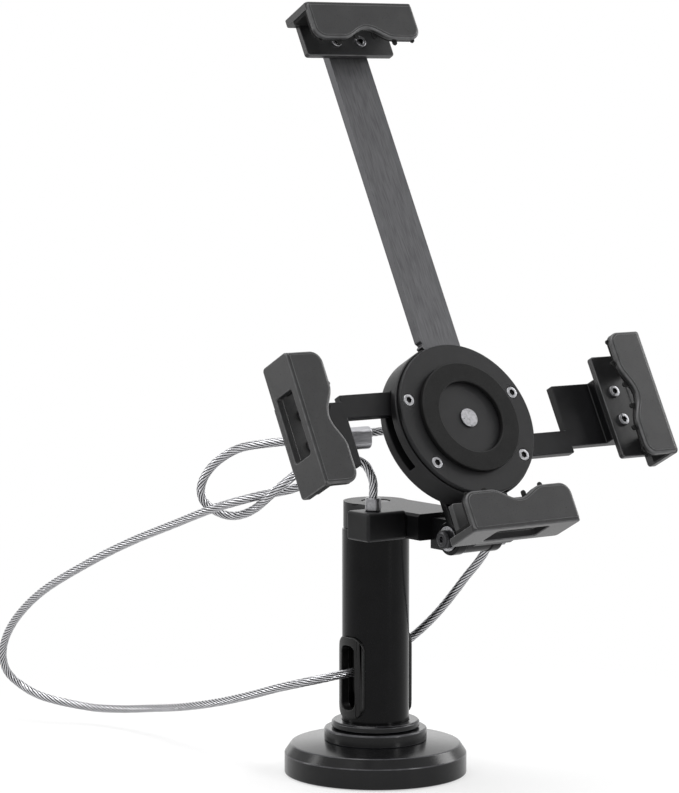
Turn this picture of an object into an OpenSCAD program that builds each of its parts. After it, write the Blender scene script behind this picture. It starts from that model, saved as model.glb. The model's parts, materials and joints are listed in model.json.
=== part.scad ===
// Security stand for a flat device: a round counter base, a post with cable openings,
// a tilting and turning head with four gripping jaws, and a steel tether cable.
// Millimetres. Z up, base centre at the origin, the open side of the jaws faces -Y.

/* [Base] */
// radius of the round base
base_r = 42.3; // [38:0.1:60]
// height of the straight side of the base
base_side_h = 9.3; // [8:0.1:14]
// width of the slanted band above the side
base_band_w = 3; // [1:0.1:6]
// height of the slanted band
base_band_h = 4.4; // [2:0.1:7]
// rise of the top face from the band to the post
base_crown_h = 1.7; // [0.5:0.1:4]
// gap between the base rim and the counter
rim_lift = 0.3; // [0.2:0.1:1]
// thickness of the base rim
rim_wall = 3.2; // [2:0.1:5]
// thickness of the rubber pad under the base
pad_t = 1.5; // [1:0.1:2]
// thickness of the steel plate inside the base
plate_t = 7.4; // [6:0.1:7.8]
// pitch circle radius of the counter screws
screw_ring_r = 31; // [26:0.5:34]
// radius of each counter screw hole
screw_hole_r = 2.25; // [1.5:0.05:3]
// radius of each countersink
screw_sink_r = 4.5; // [3.5:0.1:5]
// depth of each countersink
screw_sink_h = 2.3; // [1:0.1:3]

/* [Collars] */
// radius of the lower collar
collar_r = 23.8; // [22:0.1:28]
// height of the lower collar
collar_h = 5.6; // [4:0.1:9]
// rounding of the lower collar
collar_round = 2; // [0.5:0.1:3]
// radius of the upper ring
ring_r = 20.4; // [18.5:0.1:21.5]
// height of the upper ring
ring_h = 3.6; // [2.5:0.1:6]
// bevel of the upper ring
ring_bevel = 0.8; // [0.2:0.1:1.2]

/* [Post] */
// outer radius of the post
post_r = 15.55; // [14.5:0.05:17]
// wall of the post tube
post_wall = 2.5; // [1.5:0.1:3]
// length of the post tube
post_h = 99.3; // [95:0.1:110]
// rounding of the top edge of the post
post_round = 1.6; // [0.5:0.1:2]
// height of the foot plug
foot_plug_h = 11; // [9:0.5:12]
// height of the top plug
top_plug_h = 12; // [9:0.5:20]
// radius of the two post bolts
post_bolt_r = 4; // [3:0.1:5]
// radius of their heads
post_head_r = 6.5; // [5.5:0.1:8]
// height of their heads
post_head_h = 4.5; // [3:0.1:5]
// radius of the hexagon socket in a bolt head
socket_r = 3; // [2:0.1:3.2]
// depth of the hexagon socket
socket_h = 2.5; // [1:0.1:2.8]

/* [Grommets] */
// turn of the cable openings about the post
grommet_turn = 1; // [0:1:8]
// height of the middle of the openings
grommet_z = 46; // [45.5:0.5:54]
// width of the grommet flange
flange_w = 17.2; // [14:0.1:20]
// height of the grommet flange
flange_h = 38; // [36:0.5:40]
// corner radius of the flange
flange_round = 6; // [2:0.1:6.6]
// how far the flange stands proud of the post
flange_proud = 1.5; // [1:0.1:3]
// width of the cable opening
opening_w = 9.4; // [6:0.1:9.8]
// height of the cable opening
opening_h = 30; // [24:0.5:31]
// wall of the sleeve through the post
sleeve_t = 1.2; // [0.8:0.1:1.8]
// how far the sleeve reaches past the tube wall
sleeve_in = 1.2; // [0.5:0.1:2]

/* [Neck] */
// height of the neck arm
neck_h = 12; // [11:0.1:15]
// half width of the neck arm
neck_half = 15; // [13.5:0.1:15.5]
// reach of the wide part of the neck arm
neck_reach = 50; // [44:0.5:54]
// bevel on the long edges of the neck arm
neck_bevel = 1.2; // [0.4:0.1:2]
// half width of the hinge tongue
tongue_half = 7; // [5:0.1:8]
// radius of the hinge tongue
tongue_r = 7; // [5.5:0.1:7.4]

/* [Tilt hinge] */
// distance of the tilt axis in front of the post
pivot_reach = 69; // [64:0.5:76]
// height of the tilt axis over the top of the post
pivot_rise = 3; // [2:0.1:5]
// lean of the clamping plane from the vertical
lean = 28; // [10:1:34]
// thickness of each bracket ear
ear_t = 5.7; // [4:0.1:7]
// radius of the bracket ears
ear_r = 7.5; // [6.5:0.1:7.6]
// thickness of the bracket plate
bracket_t = 4; // [3:0.1:4.2]
// radius of the round end of the bracket
bracket_head_r = 16; // [14:0.1:20]
// height of the bracket crossbar above the tilt axis
bracket_start = 9.2; // [9.2:0.1:14]
// radius of the tilt bolt
tilt_bolt_r = 3; // [2:0.1:4]
// radius of the tilt bolt head
tilt_head_r = 4.2; // [3.8:0.1:5.5]
// height of the tilt bolt head
tilt_head_h = 3.5; // [2:0.1:5]
// thickness of the washers and nuts of the tilt bolt
tilt_nut_h = 4; // [3:0.1:6]
// thickness of a washer
washer_t = 0.8; // [0.5:0.1:1.5]
// radius of the tilt bolt washers
tilt_washer_r = 5.6; // [4.6:0.1:7]

/* [Head layout] */
// distance from the tilt axis forward to the clamping plane
clamp_gap = 35.5; // [35.2:0.1:42]
// distance from the tilt axis up to the middle of the hub
hub_up = 47.5; // [46:0.5:60]
// half of the distance between the outer faces of the side jaws
side_reach = 101; // [96:0.5:125]
// distance from the hub up to the outer face of the top jaw
top_reach = 200.8; // [150:0.1:260]
// distance from the hub down to the outer face of the bottom jaw
bottom_reach = 58; // [58:0.1:70]

/* [Hub] */
// radius of the hub housing
hub_r = 37; // [36.5:0.1:38]
// rounding of the rear edge of the hub
hub_round = 2; // [0.5:0.1:3]
// depth of the hub cover behind the clamping plane
cover_depth = 12.7; // [12.5:0.1:13]
// thickness of the hub cover
cover_t = 2.5; // [1.6:0.1:2.6]
// margin between the hub cover and the hub edge
cover_inset = 1; // [0.5:0.1:3]
// thickness of the top arm
top_arm_t = 4.2; // [3:0.1:4.3]
// thickness of the side arms
side_arm_t = 4.3; // [3:0.1:4.4]
// thickness of the hub floor
floor_t = 5; // [4.8:0.1:5.2]
// thickness of the rubber ring on the hub
ring_pad_t = 2.6; // [1:0.1:2.8]
// inner radius of the rubber ring
ring_pad_in = 17; // [14:0.5:20]
// outer radius of the rubber ring
ring_pad_out = 26; // [24:0.5:27]
// radius of the circle of cover screws
cover_screw_ring_r = 31.5; // [30.5:0.1:32]
// radius of the small screws
small_screw_r = 1.5; // [1:0.1:1.8]
// radius of the small screw heads
small_head_r = 2.8; // [2.2:0.1:3]
// height of the small screw heads
small_head_h = 1.3; // [0.8:0.1:1.6]
// length of the cover screws
cover_screw_l = 5.5; // [4:0.1:6.3]

/* [Swivel] */
// radius of the swivel bolt
swivel_r = 4; // [3:0.1:5]
// radius of the swivel bolt head
swivel_head_r = 8; // [6.5:0.1:9]
// height of the swivel bolt head
swivel_head_h = 2.9; // [2:0.1:3]
// radius of the swivel washer
swivel_washer_r = 12; // [9.5:0.1:14]
// width across the corners of the swivel nut, as a radius
swivel_nut_r = 7.4; // [6:0.1:9]
// height of the swivel nut
swivel_nut_h = 5; // [3:0.1:6]

/* [Arms] */
// width of the top arm
top_arm_w = 22; // [19:0.1:24]
// width of each side arm
side_arm_w = 11; // [9:0.1:12]
// how far each side arm runs past the middle of the hub
side_arm_past = 16; // [15:0.1:17]
// where the wide end of a side arm begins
side_plate_start = 60; // [58:0.5:64]
// half width of the wide end of a side arm
side_plate_half = 15; // [12:0.5:20]
// how far the top and bottom arms end short of their jaw's outer face
arm_inset = 2; // [1:0.1:2.5]
// how far the side arms end short of their jaw's outer face
side_arm_inset = 6.5; // [5.5:0.1:7]
// travel of the top arm each way
top_travel = 15; // [10:0.5:15]
// radius of the pinion axle
axle_r = 2.2; // [1.5:0.1:2.4]
// tooth size (module) of the pinion and racks
tooth_m = 1; // [0.9:0.05:1.02]
// teeth on the pinion
pinion_teeth = 12; // [12:2:12]
// play between the teeth
tooth_play = 0.12; // [0.05:0.01:0.25]
// spacing of the catch notches in the top arm
notch_spacing = 3; // [2.8:0.1:4]
// depth of the catch notches
notch_h = 1.2; // [0.8:0.1:1.4]

/* [Arm lock] */
// sideways place of the arm lock barrel
lock_x = 18; // [17.5:0.1:18.5]
// height of the arm lock barrel over the hub middle
lock_z = 23.2; // [23:0.1:23.5]
// radius of the arm lock barrel
lock_r = 3.8; // [3.4:0.1:4]
// how far the barrel stands out of the hub floor
lock_proud = 0.5; // [0.2:0.1:0.8]
// offset of the driving pin in the barrel
pin_throw = 1.5; // [1.4:0.05:1.6]
// radius of the driving pin
pin_r = 1; // [0.7:0.05:1.1]
// how far the catch bar runs past the lock's axis
catch_past = 4.5; // [4.2:0.05:4.7]
// half height of the catch bar
catch_half = 3.6; // [3.4:0.1:3.7]

/* [Jaws] */
// length of a jaw
jaw_l = 61; // [50:0.5:64]
// length of the front lip
lip_l = 60.4; // [46:0.1:60.6]
// height of the front lip from the outer face
lip_h = 18.5; // [15:0.1:19]
// depth of the dip in the middle of the lip
lip_dip = 5.2; // [2:0.1:7]
// half width of the dip
lip_dip_half = 14.5; // [10:0.1:18]
// corner radius of the lip
lip_round = 5.5; // [3:0.1:6]
// how far the lip stands in front of the clamping plane
lip_front = 4; // [3.4:0.1:6]
// thickness of the lip
lip_t = 2.8; // [2:0.1:2.9]
// thickness of the jaw wall
jaw_wall = 3.5; // [2:0.1:4]
// thickness of the jaw foot
jaw_foot_t = 3; // [2:0.1:3.2]
// height of the jaw foot from the outer face
jaw_foot_h = 19; // [17.5:0.1:19.4]
// length of the jaw foot
jaw_foot_l = 50; // [40:0.5:56]
// length of the window in the jaw wall
window_l = 30; // [18:0.5:34]
// width of the window in the jaw wall
window_w = 11.9; // [7:0.1:12]
// corner radius of the window
window_round = 1.3; // [0.5:0.1:3]
// distance between the window and the jaw foot
window_gap = 0.3; // [0.3:0.05:0.8]
// distance of the jaw screws from the outer face
jaw_screw_in = 12; // [11:0.1:13]
// half spacing of the jaw screws
jaw_screw_half = 7; // [5:0.1:7.5]
// thickness of the rubber on the jaw wall
liner_t = 1.6; // [1:0.1:2.2]
// thickness of the rubber under the lip
lip_pad_t = 1.1; // [0.6:0.1:1.3]
// how far the rubber ribs reach past the lip
rib_past = 2; // [1:0.1:3]
// width of a rubber rib
rib_w = 2.4; // [1.5:0.1:4]
// spacing of the rubber ribs
rib_spacing = 10.6; // [8:0.1:11]

/* [Cable] */
// diameter of the steel cable
cable_d = 4; // [3:0.1:4.1]
// length of the cable lock body
lock_body_l = 22; // [18:0.5:26]
// width of the cable lock body
lock_body_w = 16; // [14:0.5:18]
// height of the cable lock body
lock_body_h = 13; // [12:0.5:16]
// radius of the cable lock barrel
key_r = 5; // [4:0.1:5.5]
// length of the cable lock barrel
key_l = 11; // [8:0.1:12]
// radius of the cable plug
plug_r = 3.6; // [2.8:0.1:5]
// length of the cable plug outside the lock
plug_l = 6; // [5:0.5:8]
// length of the crimp
crimp_l = 18; // [12:0.5:20]
// wall of the crimp around the cable
crimp_wall = 1.1; // [0.8:0.1:1.6]

/* [Hidden] */
// running clearance between moving pieces
fit = 0.05;
// gap between separate pieces
gap = 0.3;
// overrun of cutting shapes
over = 1;
// share of a diameter used as the inner curve of a rounding
half_share = 0.5;
// number of counter screws
counter_screws = 4;
// pressure angle of the teeth
tooth_angle = 20;
// shares of the tooth size: rack tip, rack root, pinion tip, pinion root
tooth_shares = [0.65, 1.05, 0.8, 0.9];

rim_top = rim_lift + base_side_h;
band_top = rim_top + base_band_h;
base_top = band_top + base_crown_h;
plate_r = base_r - rim_wall;
plate_top = pad_t + plate_t;
collar_top = base_top + collar_h;
ring_top = collar_top + ring_h;
post_top = base_top + post_h;
post_in = post_r - post_wall;
neck_top = post_top + neck_h;
pivot_z = post_top + pivot_rise;
ear_in = tongue_half + gap;
ear_out = ear_in + ear_t;

// depths behind the clamping plane
cover_back = cover_depth + cover_t;
layer_a = cover_back + 2 * fit;
layer_b = layer_a + top_arm_t + 2 * fit;
hub_floor = layer_b + side_arm_t + 4 * fit;
hub_back = hub_floor + floor_t;
bracket_front = hub_back + fit + washer_t;
bracket_back = bracket_front + bracket_t;
foot_front = layer_a - jaw_foot_t;
arm_front = layer_b + 2 * fit;

pitch_r = tooth_m * pinion_teeth / 2;
base_circle_r = pitch_r * cos(tooth_angle);
rack_tip = pitch_r - tooth_shares[0] * tooth_m;
rack_root = pitch_r + tooth_shares[1] * tooth_m;
pinion_tip = pitch_r + tooth_shares[2] * tooth_m;
pinion_root = pitch_r - tooth_shares[3] * tooth_m;
lane_top = rack_root + side_arm_w;
// half width of a tooth on the pitch line
tooth_half = PI * tooth_m / 4 - tooth_play / 2;

// cable route: hand-placed points from the lock to the end of the eye
cable_points = [
  [-28, -34, 134], [-28.3, -34, 142], [-32, -32, 149.5], [-40, -27, 152],
  [-49, -20, 147], [-54, -12, 138.5], [-65, 4, 133.5], [-78, 19, 127.5],
  [-79, 50, 117], [-79.5, 85, 105], [-82.5, 118, 91], [-84, 155, 73.5],
  [-82, 183, 56.5], [-78, 202, 40.5], [-73.5, 209, 27.5], [-67.5, 207, 19],
  [-61.5, 192, 13], [-47, 174, 9], [-40, 155, 10], [-37.5, 130, 14], [-40, 98, 20],
  [-41, 68, 27], [-41, 43, 34], [-39.1, 24, 40], [-34.7, 12, 43.7],
  [-28.2, 5.5, 45.8], [-19.4, 2.2, 47.3], [-9.1, 0.6, 48.5], [3, 1.6, 50.9],
  [13.2, 2, 55], [20.6, 0.2, 60.3], [25.6, -5.9, 67.6], [29.4, -13, 76.2],
  [32.5, -24, 89.5], [39, -34, 106.5], [41, -36, 127], [37, -31, 146],
  [24, -20, 157], [8, -12, 160.7], [-10, -10, 160.1], [-32, -10, 160.1],
  [-47.5, -7.5, 159], [-62, 4, 157], [-68.5, 13, 154.5], [-73, 22, 148.8],
  [-75.2, 28.8, 142], [-75.6, 32.5, 135], [-74, 32.2, 129], [-71.5, 27.5, 125.2],
  [-69.3, 20, 123.5], [-67.5, 12, 124.6], [-66, 3, 128.5], [-66, -10, 136.5],
  [-58.5, -15, 144], [-47, -14.2, 151], [-38, -11.4, 154.3], [-30, -10, 155.9],
  [-22, -10, 155.9], [-14, -10, 155.9]];
cable_rings = 80;
cable_sides = 10;
// place where the cable leaves its lock, and the crimp
cable_exit = cable_points[0];
crimp_x = -30;
crimp_y = -10;
crimp_z = 158;
strand_step = 4.2;

function unit(v) = v / norm(v);
function spline(a, b, c, d, t) =
  0.5 * ((2 * b) + (c - a) * t + (2 * a - 5 * b + 4 * c - d) * t * t
  + (3 * b - a - 3 * c + d) * t * t * t);
function pick(p, i) = p[max(0, min(len(p) - 1, i))];
function along(p, s) =
  let (i = min(len(p) - 2, floor(s)))
  spline(pick(p, i - 1), pick(p, i), pick(p, i + 1), pick(p, i + 2), s - i);
function side_of(dirs, i) =
  i == 0 ? unit(cross(dirs[0], [0, 1, 0]))
  : let (a = side_of(dirs, i - 1)) unit(a - (a * dirs[i]) * dirs[i]);

// half angle of a pinion tooth at radius r
function inv_deg(r) =
  let (a = acos(base_circle_r / r)) tan(a) * 180 / PI - a;
function tooth_spread(r) =
  tooth_half / pitch_r * 180 / PI + inv_deg(pitch_r) - inv_deg(max(r, base_circle_r));
flank_steps = 6;
flank_r = [for (k = [0:flank_steps])
  base_circle_r + (pinion_tip - base_circle_r) * k / flank_steps];
tooth_points = concat(
  [[pinion_root, -tooth_spread(base_circle_r)]],
  [for (r = flank_r) [r, -tooth_spread(r)]],
  [for (k = [flank_steps:-1:0]) [flank_r[k], tooth_spread(flank_r[k])]],
  [[pinion_root, tooth_spread(base_circle_r)]]);

// lip outline: height of the lip edge at a place along the jaw
function lip_edge(a) =
  abs(a) >= lip_dip_half ? lip_h
  : lip_h - lip_dip * (1 + cos(180 * a / lip_dip_half)) / 2;
edge_steps = 14;
corner_steps = 6;
lip_points = concat(
  [[-lip_l / 2, 0]],
  [for (k = [0:corner_steps]) let (g = 90 * k / corner_steps)
    [-lip_l / 2 + lip_round * (1 - cos(g)), lip_h - lip_round * (1 - sin(g))]],
  [for (k = [-edge_steps:edge_steps]) let (a = lip_dip_half * k / edge_steps)
    [a, lip_edge(a)]],
  [for (k = [0:corner_steps]) let (g = 90 * k / corner_steps)
    [lip_l / 2 - lip_round * (1 - sin(g)), lip_h - lip_round * (1 - cos(g))]],
  [[lip_l / 2, 0]]);

$fn = 72;

// plate shape with rounded corners, centred
module rounded(w, h, r) {
  square([w - 2 * r, h], center = true);
  square([w, h - 2 * r], center = true);
  for (x = [-1, 1], y = [-1, 1])
    translate([x * (w / 2 - r), y * (h / 2 - r)]) circle(r);
}

// cylinder along +Y from depth y0 to y1
module rod(r, y0, y1, sides = 72) {
  translate([0, y1, 0]) rotate([90, 0, 0])
    cylinder(r = r, h = y1 - y0, $fn = sides);
}

// cylinder along X from x0 to x1
module bar(r, x0, x1, sides = 72) {
  translate([x0, 0, 0]) rotate([0, 90, 0])
    cylinder(r = r, h = x1 - x0, $fn = sides);
}

// box from one corner to the opposite one
module box(a, b) {
  translate(a) cube(b - a);
}

// shape drawn in X-Z, given a thickness from depth y0 to y1
module slab(y0, y1) {
  translate([0, y1, 0]) rotate([90, 0, 0])
    linear_extrude(y1 - y0) children();
}

module at_pivot() {
  translate([0, -pivot_reach, pivot_z]) rotate([-lean, 0, 0]) children();
}

// frame of the head: origin on the clamping plane in front of the hub, Y is depth
module at_hub() {
  at_pivot() translate([0, -clamp_gap, hub_up]) children();
}

// frames of the jaws: origin on the outer face, Z points inward
module at_top() {
  at_hub() translate([0, 0, top_reach]) rotate([0, 180, 0]) children();
}

module at_bottom() {
  at_hub() translate([0, 0, -bottom_reach]) children();
}

module at_left() {
  at_hub() translate([-side_reach, 0, 0]) rotate([0, 90, 0]) children();
}

module at_right() {
  at_hub() translate([side_reach, 0, 0]) rotate([0, -90, 0]) children();
}

module base_pad() {
  color([0.1, 0.1, 0.1]) difference() {
    cylinder(r = plate_r - gap, h = pad_t);
    translate([0, 0, -over]) cylinder(r = post_head_r + over, h = pad_t + 2 * over);
    for (k = [1:counter_screws])
      rotate([0, 0, 360 * (k - half_share) / counter_screws])
        translate([screw_ring_r, 0, -over])
          cylinder(r = screw_hole_r, h = pad_t + 2 * over);
  }
}

module base_plate() {
  color([0.5, 0.5, 0.52]) difference() {
    translate([0, 0, pad_t]) cylinder(r = plate_r - gap, h = plate_t);
    cylinder(r = post_bolt_r + fit, h = plate_top + over);
    cylinder(r = post_head_r + gap, h = pad_t + post_head_h);
    for (k = [1:counter_screws])
      rotate([0, 0, 360 * (k - half_share) / counter_screws])
        translate([screw_ring_r, 0, 0]) {
          cylinder(r = screw_hole_r, h = plate_top + over);
          translate([0, 0, plate_top - screw_sink_h])
            cylinder(r1 = screw_hole_r, r2 = screw_sink_r, h = screw_sink_h);
        }
  }
}

module base_cover() {
  color([0.09, 0.09, 0.1]) difference() {
    rotate_extrude($fn = 120)
      polygon([[0, rim_lift], [base_r, rim_lift], [base_r, rim_top],
        [base_r - base_band_w, band_top], [collar_r - over, base_top], [0, base_top]]);
    translate([0, 0, -over]) cylinder(r = plate_r, h = plate_top + over, $fn = 120);
    cylinder(r = post_bolt_r + fit, h = base_top + over);
  }
}

module lower_collar() {
  color([0.07, 0.07, 0.08]) difference() {
    translate([0, 0, base_top]) rotate_extrude($fn = 120) {
      square([collar_r - collar_round, collar_h]);
      square([collar_r, collar_h - collar_round]);
      translate([collar_r - collar_round, collar_h - collar_round])
        circle(collar_round, $fn = 32);
    }
    translate([0, 0, base_top - over])
      cylinder(r = post_r + fit, h = collar_h + 2 * over, $fn = 96);
  }
}

module upper_ring() {
  color([0.07, 0.07, 0.08]) difference() {
    translate([0, 0, collar_top]) rotate_extrude($fn = 120)
      polygon([[0, 0], [ring_r - ring_bevel, 0], [ring_r, ring_bevel],
        [ring_r, ring_h - ring_bevel], [ring_r - ring_bevel, ring_h], [0, ring_h]]);
    translate([0, 0, collar_top - over])
      cylinder(r = post_r + fit, h = ring_h + 2 * over, $fn = 96);
  }
}

module slot_prism(w, h, r, x0, x1) {
  translate([x0, 0, grommet_z]) rotate([90, 0, 90])
    linear_extrude(x1 - x0) rounded(w, h, r);
}

module post_tube() {
  slot_w = opening_w + 2 * sleeve_t + 2 * fit;
  slot_h = opening_h + 2 * sleeve_t + 2 * fit;
  color([0.06, 0.06, 0.07]) difference() {
    translate([0, 0, base_top]) rotate_extrude($fn = 96) {
      translate([post_in, 0]) square([post_wall - post_round, post_h]);
      translate([post_in, 0]) square([post_wall, post_h - post_round]);
      translate([post_r - post_round, post_h - post_round])
        intersection() {
          circle(post_round, $fn = 32);
          square(2 * post_round);
        }
    }
    rotate([0, 0, grommet_turn])
      slot_prism(slot_w, slot_h, opening_w / 2, -post_r - over, post_r + over);
  }
}

module post_foot_plug() {
  color([0.45, 0.45, 0.47]) difference() {
    translate([0, 0, base_top]) cylinder(r = post_in, h = foot_plug_h);
    translate([0, 0, base_top - over])
      cylinder(r = post_bolt_r, h = foot_plug_h + 2 * over);
  }
}

module cap_bolt(r, l, head_r, head_h) {
  difference() {
    union() {
      cylinder(r = r, h = l + head_h);
      translate([0, 0, l]) cylinder(r = head_r, h = head_h);
    }
    translate([0, 0, l + head_h - socket_h])
      cylinder(r = socket_r, h = socket_h + over, $fn = 6);
  }
}

module post_bolt() {
  color([0.7, 0.7, 0.72]) translate([0, 0, pad_t + post_head_h])
    rotate([180, 0, 0]) translate([0, 0, -base_top + pad_t + post_head_h - foot_plug_h])
      cap_bolt(post_bolt_r, base_top - pad_t - post_head_h + foot_plug_h,
        post_head_r, post_head_h);
}

module post_top_plug() {
  color([0.45, 0.45, 0.47]) difference() {
    translate([0, 0, post_top - top_plug_h]) cylinder(r = post_in, h = top_plug_h);
    translate([0, 0, post_top - top_plug_h - over])
      cylinder(r = post_bolt_r, h = top_plug_h + 2 * over);
  }
}

module grommet() {
  sleeve_x = post_in - sleeve_in;
  face_r = post_r + flange_proud;
  color([0.05, 0.05, 0.05]) difference() {
    intersection() {
      union() {
        difference() {
          slot_prism(flange_w, flange_h, flange_round, sleeve_x, face_r);
          cylinder(r = post_r + fit, h = post_top, $fn = 96);
        }
        slot_prism(opening_w + 2 * sleeve_t, opening_h + 2 * sleeve_t,
          opening_w / 2, sleeve_x, face_r);
      }
      cylinder(r = face_r, h = post_top, $fn = 96);
    }
    slot_prism(opening_w, opening_h, opening_w / 2 - sleeve_t,
      sleeve_x - over, face_r + over);
  }
}

module left_grommet() {
  rotate([0, 0, 180 + grommet_turn]) grommet();
}

module right_grommet() {
  rotate([0, 0, grommet_turn]) grommet();
}

module neck_arm() {
  side = neck_half - neck_bevel;
  color([0.16, 0.16, 0.17]) difference() {
    union() {
      translate([0, 0, post_top]) cylinder(r = neck_half, h = neck_h, $fn = 96);
      translate([0, 0, post_top]) rotate([90, 0, 0]) linear_extrude(neck_reach)
        polygon([[-side, 0], [side, 0], [neck_half, neck_bevel],
          [neck_half, neck_h - neck_bevel], [side, neck_h], [-side, neck_h],
          [-neck_half, neck_h - neck_bevel], [-neck_half, neck_bevel]]);
      box([-tongue_half, -pivot_reach, pivot_z - tongue_r],
        [tongue_half, -neck_reach + over, pivot_z + tongue_r]);
      translate([0, -pivot_reach, pivot_z]) bar(tongue_r, -tongue_half, tongue_half);
    }
    translate([0, -pivot_reach, pivot_z])
      bar(tilt_bolt_r + fit, -tongue_half - over, tongue_half + over);
    translate([0, 0, post_top - over]) cylinder(r = post_bolt_r + fit, h = neck_h);
    translate([0, 0, neck_top - post_head_h - gap])
      cylinder(r = post_head_r + gap, h = post_head_h + over);
  }
}

module neck_bolt() {
  color([0.7, 0.7, 0.72]) translate([0, 0, post_top - top_plug_h])
    cap_bolt(post_bolt_r, top_plug_h + neck_h - post_head_h - gap,
      post_head_r, post_head_h);
}

lock_mid_x = -neck_half - lock_body_l / 2;
lock_front = cable_exit[1] - lock_body_w / 2;
lock_low = cable_exit[2] - plug_l - lock_body_h;
lock_mid_z = lock_low + lock_body_h / 2;

module cable_lock_body() {
  color([0.12, 0.12, 0.13]) difference() {
    box([-neck_half - lock_body_l, lock_front, lock_low],
      [-neck_half, lock_front + lock_body_w, lock_low + lock_body_h]);
    translate([lock_mid_x, 0, lock_mid_z])
      rod(key_r + fit, lock_front + lock_body_w - key_l, lock_front + lock_body_w + over);
  }
}

module cable_lock_barrel() {
  y1 = lock_front + lock_body_w;
  color([0.75, 0.72, 0.6]) translate([lock_mid_x, 0, lock_mid_z])
    difference() {
      rod(key_r, y1 - key_l + fit, y1);
      box([-key_r * half_share, y1 - over, -crimp_wall * half_share],
        [key_r * half_share, y1 + over, crimp_wall * half_share]);
    }
}

module cable_plug() {
  color([0.72, 0.72, 0.74])
    translate([cable_exit[0], cable_exit[1], cable_exit[2] - plug_l])
      cylinder(r = plug_r, h = plug_l);
}

module cable_ferrule() {
  outer = cable_d / 2 + crimp_wall;
  color([0.72, 0.72, 0.74]) translate([0, crimp_y, crimp_z]) difference() {
    union() {
      for (s = [-1, 1]) translate([0, 0, s * strand_step / 2])
        bar(outer, crimp_x, crimp_x + crimp_l);
      box([crimp_x, -outer, -strand_step / 2],
        [crimp_x + crimp_l, outer, strand_step / 2]);
    }
    for (s = [-1, 1]) translate([0, 0, s * strand_step / 2])
      bar(cable_d / 2, crimp_x - over, crimp_x + crimp_l + over);
  }
}

module cable() {
  last = len(cable_points) - 1;
  mid = [for (i = [0:cable_rings]) along(cable_points, last * i / cable_rings)];
  dirs = [for (i = [0:cable_rings])
    unit(mid[min(cable_rings, i + 1)] - mid[max(0, i - 1)])];
  rings = [for (i = [0:cable_rings])
    let (a = side_of(dirs, i), b = cross(dirs[i], a))
    for (k = [0:cable_sides - 1]) let (g = 360 * k / cable_sides)
      mid[i] + cable_d / 2 * (a * cos(g) + b * sin(g))];
  skin = [for (i = [0:cable_rings - 1], k = [0:cable_sides - 1])
    let (n = (k + 1) % cable_sides, c = i * cable_sides)
    [c + k, c + cable_sides + k, c + cable_sides + n, c + n]];
  ends = [[for (k = [0:cable_sides - 1]) k],
    [for (k = [cable_sides - 1:-1:0]) cable_rings * cable_sides + k]];
  color([0.75, 0.76, 0.78]) polyhedron(points = rings, faces = concat(skin, ends));
}

module tilt_bracket() {
  plate_z = bracket_start;
  y0 = bracket_front - clamp_gap;
  y1 = bracket_back - clamp_gap;
  color([0.14, 0.14, 0.15]) at_pivot() difference() {
    union() {
      for (s = [-1, 1]) scale([s, 1, 1]) {
        bar(ear_r, ear_in, ear_out);
        box([ear_in, y0, 0], [ear_out, y1, plate_z + over]);
      }
      box([-ear_out, y0, plate_z], [ear_out, y1, hub_up]);
      translate([0, 0, hub_up]) rod(bracket_head_r, y0, y1);
    }
    bar(tilt_bolt_r + fit, -ear_out - over, ear_out + over);
    translate([0, 0, hub_up]) rod(swivel_r + fit, y0 - over, y1 + over);
  }
}

module tilt_bolt() {
  x0 = -ear_out - washer_t;
  x1 = ear_out + washer_t + tilt_nut_h;
  color([0.2, 0.2, 0.21]) at_pivot() difference() {
    union() {
      bar(tilt_bolt_r, x0, x1);
      translate([x0 - tilt_head_h, 0, 0]) rotate([0, 90, 0]) rotate_extrude()
        polygon([[0, 0], [tilt_head_r * 3 / 4, 0], [tilt_head_r, tilt_head_h / 4],
          [tilt_head_r, tilt_head_h], [0, tilt_head_h]]);
    }
    bar(tilt_bolt_r * half_share, x0 - tilt_head_h - over,
      x0 - tilt_head_h * half_share, 6);
  }
}

module tilt_washer(x0) {
  color([0.7, 0.7, 0.72]) at_pivot() difference() {
    bar(tilt_washer_r, x0, x0 + washer_t);
    bar(tilt_bolt_r + fit, x0 - over, x0 + washer_t + over);
  }
}

module tilt_left_washer() {
  tilt_washer(-ear_out - washer_t);
}

module tilt_right_washer() {
  tilt_washer(ear_out);
}

module tilt_nut() {
  x0 = ear_out + washer_t;
  color([0.7, 0.7, 0.72]) at_pivot() difference() {
    bar(tilt_washer_r, x0, x0 + tilt_nut_h, 6);
    bar(tilt_bolt_r, x0 - over, x0 + tilt_nut_h + over);
  }
}

module swivel_bolt() {
  head = hub_floor + gap;
  color([0.7, 0.7, 0.72]) at_hub() union() {
    rod(swivel_head_r, head, head + swivel_head_h - fit);
    rod(swivel_r, head, bracket_back + swivel_nut_h);
  }
}

module swivel_washer() {
  color([0.7, 0.7, 0.72]) at_hub() difference() {
    rod(swivel_washer_r, hub_back + fit, bracket_front);
    rod(swivel_r + fit, hub_back - over, bracket_front + over);
  }
}

module swivel_nut() {
  color([0.7, 0.7, 0.72]) at_hub() difference() {
    rod(swivel_nut_r, bracket_back, bracket_back + swivel_nut_h, 6);
    rod(swivel_r, bracket_back - over, bracket_back + swivel_nut_h + over);
  }
}

// places of the cover screws around the hub, as angles
cover_screw_turns = [20, 160, 218, 322];

module at_cover_screw(k) {
  rotate([0, -cover_screw_turns[k], 0]) translate([cover_screw_ring_r, 0, 0]) children();
}

catch_slot = gap + fit;
catch_x0 = lock_x + catch_past;
pin_side = pin_throw * cos(45);
catch_tip = top_arm_w / 2 + notch_h;

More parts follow.
